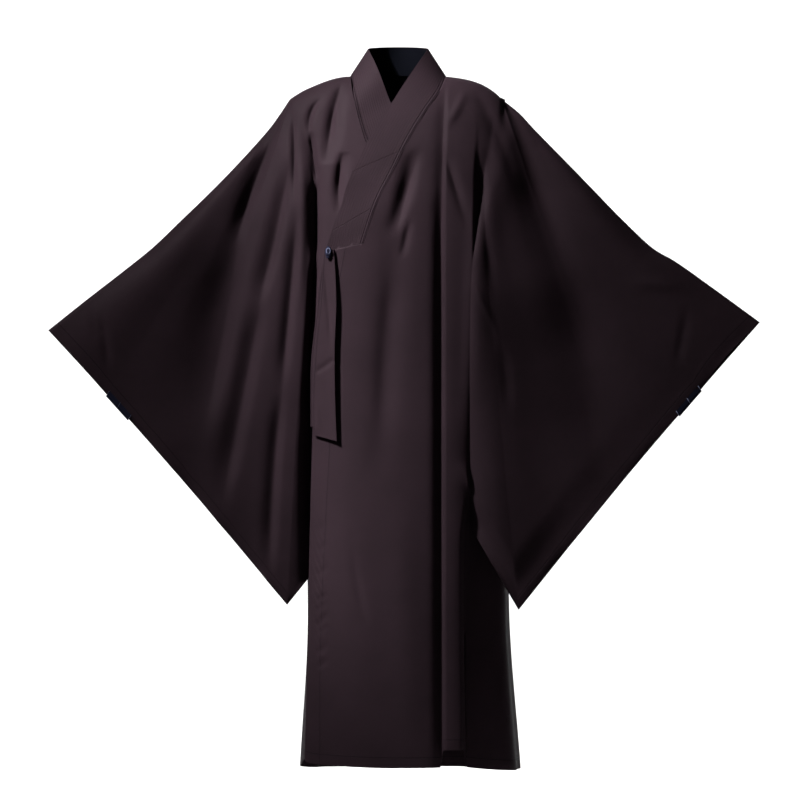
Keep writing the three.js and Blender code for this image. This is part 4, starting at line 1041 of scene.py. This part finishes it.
SLEEVE_CUTS = {"left": {"flat": (0.69, 1.43), "area": 0.58}, "right": {"flat": (0.68, 1.42), "area": 0.54}}
CORNER_RAY = 15
NO_STITCHES = 500.0  # a distance far past any row of stitches
for name, (front, back) in LAYERS.items():
    rows, columns = front.shape[:2]
    size = rows * columns
    points = np.concatenate([front.reshape(-1, 3), back.reshape(-1, 3)])
    turned = name == "left"
    faces = np.concatenate([grid_faces(rows, columns, turned), grid_faces(rows, columns, not turned, size)])
    sewn = np.arange(MOUTH_RAYS * RAY_STEPS, rows - 1) * columns + columns - 1
    strip = np.stack([sewn, sewn + columns, sewn + columns + size, sewn + size], axis=1)
    faces = np.concatenate([faces, strip if name == "left" else strip[:, ::-1]])
    side = SLEEVES[name]["side"]
    arm_way = np.array([side, 0, -1]) / math.sqrt(2)
    hang_way = np.array([-side, 0, -1]) / math.sqrt(2)
    weave = np.stack([points @ arm_way, points @ hang_way], axis=-1)
    reach = lengths(front)[..., 0]
    from_hole = reach + np.where(np.arange(rows) < CREST_RAYS * RAY_STEPS, NO_STITCHES, 0.0)[:, None]
    below_corner = np.where(np.arange(rows) > CORNER_RAY * RAY_STEPS, NO_STITCHES, 0.0)[:, None]
    from_cuff = reach[:, -1:] - reach + below_corner
    edge = np.stack([from_hole, from_cuff], axis=-1).reshape(-1, 2)
    edge = np.concatenate([edge, edge])
    # The two layers are one cloth over the arm's line
    joined = np.arange(len(points))
    joined[size : size + columns] = np.arange(columns)
    arm_rows = np.arange(CREST_RAYS * RAY_STEPS + 1) * columns
    joined[size + arm_rows] = arm_rows
    faces = joined[faces]
    used, faces = np.unique(faces, return_inverse=True)
    faces = faces.reshape(-1, 4)
    sleeve = shell(f"sleeve_{name}_cloth", points[used], faces, weave[used], edge[used], WALL, SLEEVE_CLOTH,
                   [f"sleeve_{name}_front", f"sleeve_{name}_back"])
    cut = SLEEVE_CUTS[name]


# The neckband: several layers of the same cloth, quilted in close rows, with painted shade on its inner side:
# a near-black navy lining.
# It is sewn on with two rows of stitches, and two of its joins show as lines across it.


BAND_WALL = 2.4
BAND_POINTS = {"lap": 90, "half": 24, "under": 60, "across": 19}


def neckband_grid():
    """Points from the band's free edge, through the nape, to its seam with the robe."""
    count = BAND_POINTS
    seam = np.vstack([
        lap_seam(np.linspace(0, 1, count["lap"])),
        back_neck(1, np.linspace(1, 0, count["half"]))[1:],
        back_neck(-1, np.linspace(0, 1, count["half"]))[1:],
        under_seam(np.linspace(0, 1, count["under"]))[1:],
    ])
    edge = np.vstack([
        lap_edge(np.linspace(0, 1, count["lap"])),
        band_top(np.linspace(0, math.pi, 2 * count["half"] - 1))[1:],
        under_edge(np.linspace(0, 1, count["under"]))[1:],
    ])
    t = np.linspace(0, 1, count["across"])[None, :, None]
    return mix(edge[:, None], seam[:, None], t)


BAND = neckband_grid()
band_weave = lengths(BAND)
band_width = band_weave[:, -1:, 0]
band_edge = np.stack([band_width - band_weave[..., 0], -band_weave[..., 1]], axis=-1)
band = shell("neckband_cloth", BAND.reshape(-1, 3), grid_faces(*BAND.shape[:2]), band_weave.reshape(-1, 2),
             band_edge.reshape(-1, 2), BAND_WALL, BAND_CLOTH, ["neckband"], shade_lining=NECK_SHADE_LINING)


# The ties: two ends of a ribbon of the same cloth that hang from the neckband's lower end. The one in front
# is broad and folded back along its right side; the other shows as a narrow strip behind it.

FRONT_TIE = table(
    "z x half out",
    (-322, -126, 9, 5.4), (-360, -126, 12, 6.4), (-420, -127, 15, 8), (-510, -133, 18, 9), (-600, -135, 21, 9),
    (-676, -133, 22, 8),
)
BACK_TIE = table(
    "z x half out",
    (-320, -124, 7, 3.2), (-360, -131, 9, 3.6), (-430, -136, 12, 4), (-560, -146, 14, 4), (-655, -146, 14, 4),
)
TIE_CREASES = {
    "tie_front": table(
        "x0 z0 x1 z1 x2 z2 depth near far fade sharp",
        (-152, -553, -134, -545, -112, -526, 2.2, 4, 6, 0.2, 1.6),
        (-136, -345, -128, -420, -120, -520, 1.6, 4, 5, 0.3, 2),
        (-150, -600, -146, -640, -144, -676, -1.5, 5, 5, 0.4, 2),
    ),
    "tie_back": [],
}


TIE_POINTS = {"along": 90, "across": 25}
# The front tie's turned edge: the share of its width, how thick it is, and how soon it starts
TIE_TURN = {"share": 0.8, "thick": 1.5, "starts": 3}


def tie_grid(name, rows, slant):
    z = np.linspace(rows[0]["z"], rows[-1]["z"], TIE_POINTS["along"])[:, None]
    t = np.linspace(0, 1, TIE_POINTS["along"])[:, None]
    way = np.linspace(-1, 1, TIE_POINTS["across"])[None, :]
    x = through(rows, "z", "x")(z) + way * through(rows, "z", "half")(z)
    grid = front_point(x, z - slant * way * t, 0)
    out = through(rows, "z", "out")(z)
    raised = 0
    if name == "tie_front":
        turned = (way - 1 + TIE_TURN["share"]) / TIE_TURN["share"]
        raised = smooth(turned) * TIE_TURN["thick"] * smooth(t * TIE_TURN["starts"])
    grid[..., 1] += creases(TIE_CREASES[name], grid[..., 0], grid[..., 2]) - raised - LAP_GAP - out
    return grid


TIES = {
    "tie_front": {"rows": FRONT_TIE, "slant": 6, "flat": (0.052, 0.36), "area": 0.0136},
    "tie_back": {"rows": BACK_TIE, "slant": 0, "flat": (0.034, 0.34), "area": 0.0092},
}
for name, cut in TIES.items():
    grid = tie_grid(name, cut["rows"], cut["slant"])
    tie = panel(f"{name}_cloth", grid, True, TIE_CLOTH, name)


# The knot that holds the ties to the neckband's end: navy cord wound into a small ball, and a loop of pale
# cotton thread that is sewn through the front of it.


def hard_piece(name, made, points, material, nodes=()):
    """The object that an operator has just made, with its points moved to their places."""
    made.name = made.data.name = name
    made.data.vertices.foreach_set("co", np.asarray(points, float).ravel())
    made.location = (0, 0, 0)
    made.rotation_euler = (0, 0, 0)
    made.data.materials.append(material)
    made.data.polygons.foreach_set("use_smooth", [True] * len(made.data.polygons))
    made.data.update()
    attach(made, "root")
    if nodes:
        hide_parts(*nodes)
    return made


def points_of(made):
    flat = np.empty(len(made.data.vertices) * 3)
    made.data.vertices.foreach_get("co", flat)
    return flat.reshape(-1, 3)


pale = bpy.data.materials.new("pale_thread")
pale.use_nodes = True
thread = pale.node_tree.nodes["Principled BSDF"]
thread.inputs["Base Color"].default_value = (0.3, 0.33, 0.52, 1)
thread.inputs["Roughness"].default_value = 0.6

KNOT = {"x": -127, "z": -328, "wide": 12.09, "tall": 23.25, "thick": 6.51, "out": 10.4, "winding": 0.09, "turns": 9}
THREAD_LOOP = {"radius": 4.6, "thread": 0.5, "wide": 0.8, "tall": 1.1, "out": 2.6, "up": 3.0}
knot_place = front_point(np.array(float(KNOT["x"])), np.array(float(KNOT["z"])), LAP_GAP + KNOT["out"])
bpy.ops.object.select_all(action="DESELECT")
bpy.ops.mesh.primitive_uv_sphere_add(segments=48, ring_count=32, radius=0.5)
knot = bpy.context.object
ball = points_of(knot)
turns = np.arctan2(ball[:, 1], ball[:, 0])
wound = 1 + KNOT["winding"] * np.sin(KNOT["turns"] * np.arcsin(np.clip(ball[:, 2] * 2, -1, 1)) + turns)
ball = ball * wound[:, None] * [KNOT["wide"], KNOT["thick"], KNOT["tall"]]
hard_piece("tie_knot_cord", knot, (ball + knot_place) * MM, TACK_CLOTH, ["tie_knot"])

bpy.ops.object.select_all(action="DESELECT")
bpy.ops.mesh.primitive_torus_add(major_radius=THREAD_LOOP["radius"], minor_radius=THREAD_LOOP["thread"],
                                 major_segments=40, minor_segments=10)
loop = bpy.context.object
ring = points_of(loop)
ring = np.stack([ring[:, 0] * THREAD_LOOP["wide"], ring[:, 2] - THREAD_LOOP["out"],
                 ring[:, 1] * THREAD_LOOP["tall"] + THREAD_LOOP["up"]], axis=1)
hard_piece("knot_loop", loop, (ring + knot_place) * MM, pale)


# The tacks: a strip of navy cotton tape folded over the edge of each cuff, where its opening ends, so that it
# can't tear on. Each is held by three pale stitches.

TACK = {"reach": (9, 6.5, 4, 2, 0), "wall": 1.2, "clear": 1.3, "sleeve_wall": 2, "rim": 0.6, "fold": 0.4}
STITCH = {"radius": 0.6, "flat": 0.7, "out": 0.9}
TACK_STAND = TACK["sleeve_wall"] / 2 + TACK["clear"] + TACK["wall"] / 2
for name, (front, back) in LAYERS.items():
    out = np.array([SLEEVES[name]["side"], 0, -1]) / math.sqrt(2)
    rows = []
    for m in range(MOUTH_RAYS * RAY_STEPS, (MOUTH_RAYS + 1) * RAY_STEPS + 1):
        cut = []
        for layer, way in ((front, -1), (back, 1)):
            rim = layer[m, -1]
            step = layer[m, -ROW_STEPS] - rim
            within = np.array([rim + step / np.linalg.norm(step) * deep for deep in TACK["reach"]])
            within[:, 1] += way * TACK_STAND
            within[-1] += out * TACK_STAND * TACK["rim"]
            cut.append(within)
        middle = (cut[0][-1] + cut[1][-1]) / 2 + out * TACK_STAND * TACK["fold"]
        rows.append(np.vstack([cut[0], middle[None], cut[1][::-1]]))
    tack_grid = np.array(rows)
    tack = panel(f"tack_{name}", tack_grid, name == "right", TACK_CLOTH, f"cuff_tack_{name}",
                 wall=TACK["wall"])
    for k, row in enumerate((0, RAY_STEPS // 2, RAY_STEPS)):
        inner, outer = tack_grid[row, 0], tack_grid[row, len(TACK["reach"]) - 1]
        bpy.ops.object.select_all(action="DESELECT")
        bpy.ops.mesh.primitive_cylinder_add(vertices=10, radius=STITCH["radius"], depth=1.0)
        stitch = bpy.context.object
        rod = points_of(stitch)
        length = outer - inner
        round_it = rod[:, [0]] * [0, 1, 0] + rod[:, [1]] * [STITCH["flat"], 0, STITCH["flat"]]
        rod = inner + (rod[:, [2]] + 0.5) * length + round_it
        rod[:, 1] -= STITCH["out"]
        hard_piece(f"tack_{name}_stitch_{k + 1}", stitch, rod * MM, pale)


# The studio: a pale floor and a pale backdrop that have their own light, soft lamps from high on the left that
# rake over the folds, and a level camera far in front.


def plane(name, corners, material):
    mesh = bpy.data.meshes.new(name)
    mesh.from_pydata(corners, [], [(0, 1, 2, 3)])
    mesh.materials.append(material)
    made = bpy.data.objects.new(name, mesh)
    bpy.context.scene.collection.objects.link(made)
    return made


paper = bpy.data.materials.new("paper")
paper.use_nodes = True
paper.node_tree.nodes["Principled BSDF"].inputs["Base Color"].default_value = (0.9, 0.9, 0.9, 1)
paper.node_tree.nodes["Principled BSDF"].inputs["Roughness"].default_value = 0.9
# The backdrop is clear from behind, so that the robe's back can be looked at
backdrop_paper = paper.copy()
backdrop_paper.name = "backdrop_paper"
tree = backdrop_paper.node_tree
clear = node(tree, "ShaderNodeMixShader")
tree.links.new(node(tree, "ShaderNodeNewGeometry").outputs["Backfacing"], clear.inputs[0])
tree.links.new(tree.nodes["Principled BSDF"].outputs["BSDF"], clear.inputs[1])
tree.links.new(node(tree, "ShaderNodeBsdfTransparent").outputs["BSDF"], clear.inputs[2])
tree.links.new(clear.outputs["Shader"], tree.nodes["Material Output"].inputs["Surface"])
FLOOR = -1.42
STAGE = {"side": 9, "front": -18, "back": 5, "top": 8}
left, right, back = -STAGE["side"], STAGE["side"], STAGE["back"]
floor = plane("floor", [(left, STAGE["front"], FLOOR), (right, STAGE["front"], FLOOR), (right, back, FLOOR),
                        (left, back, FLOOR)], paper)
backdrop = plane("backdrop", [(left, back, FLOOR), (right, back, FLOOR), (right, back, STAGE["top"]),
                              (left, back, STAGE["top"])], backdrop_paper)


def lamp(name, kind, place, aim, power, **values):
    data = bpy.data.lights.new(name, kind)
    data.energy = power
    for key, value in values.items():
        setattr(data, key, value)
    made = bpy.data.objects.new(name, data)
    bpy.context.scene.collection.objects.link(made)
    made.location = place
    way = np.array(aim, float) - np.array(place)
    tilt = math.atan2(math.hypot(way[0], way[1]), -way[2])
    made.rotation_euler = (tilt, 0, math.atan2(way[1], way[0]) - math.pi / 2)
    return made


KEY_PLACE = (-3.55, -2.3, 3.7)
lamp("key", "SPOT", KEY_PLACE, (0.03, 0, -0.5), 850, spot_size=math.radians(26), spot_blend=1.0, shadow_soft_size=0.4)
# A row of narrow lights makes the front brighter than the sleeves
for number, (height, power) in enumerate(((0.0, 3000), (-0.3, 3400), (-0.6, 3000), (-0.9, 2500), (-1.2, 2000))):
    lamp(f"strip_{number + 1}", "SPOT", KEY_PLACE, (0.08, 0, height), power, spot_size=math.radians(3),
         spot_blend=1.0, shadow_soft_size=0.12)
lamp("fill", "AREA", (-1.5, -6.0, 0.8), (0, 0, -0.6), 1.0, shape="DISK", size=3.0)
lamp("back_light", "SPOT", (0.1, 4.6, -0.4), (0, 0, -0.5), 300, spot_size=math.radians(26), spot_blend=0.8,
     shadow_soft_size=0.4)
lamp("paper_light", "SPOT", (0, 1.5, 3.5), (0, 4.0, FLOOR), 1700, spot_size=math.radians(72), spot_blend=0.2)

world = bpy.data.worlds.new("studio")
bpy.context.scene.world = world
world.use_nodes = True
world.node_tree.nodes["Background"].inputs["Color"].default_value = (1, 1, 1, 1)
world.node_tree.nodes["Background"].inputs["Strength"].default_value = 0.012
bpy.context.scene.view_settings.view_transform = "Standard"

# The picture is 800 pixels each way, and the origin is at this pixel of it
PIXEL = 1.89 * MM
IMAGE = 800
ORIGIN_AT = {"across": 396, "down": 80}
DISTANCE = 16.0
camera_data = bpy.data.cameras.new("camera")
camera_data.sensor_width = 36
camera_data.lens = 36 * DISTANCE / (IMAGE * PIXEL)
camera_data.clip_end = 100
camera = bpy.data.objects.new("camera", camera_data)
bpy.context.scene.collection.objects.link(camera)
middle = IMAGE / 2
camera.location = ((middle - ORIGIN_AT["across"]) * PIXEL, -DISTANCE, (ORIGIN_AT["down"] - middle) * PIXEL)
camera.rotation_euler = (math.pi / 2, 0, 0)
bpy.context.scene.camera = camera
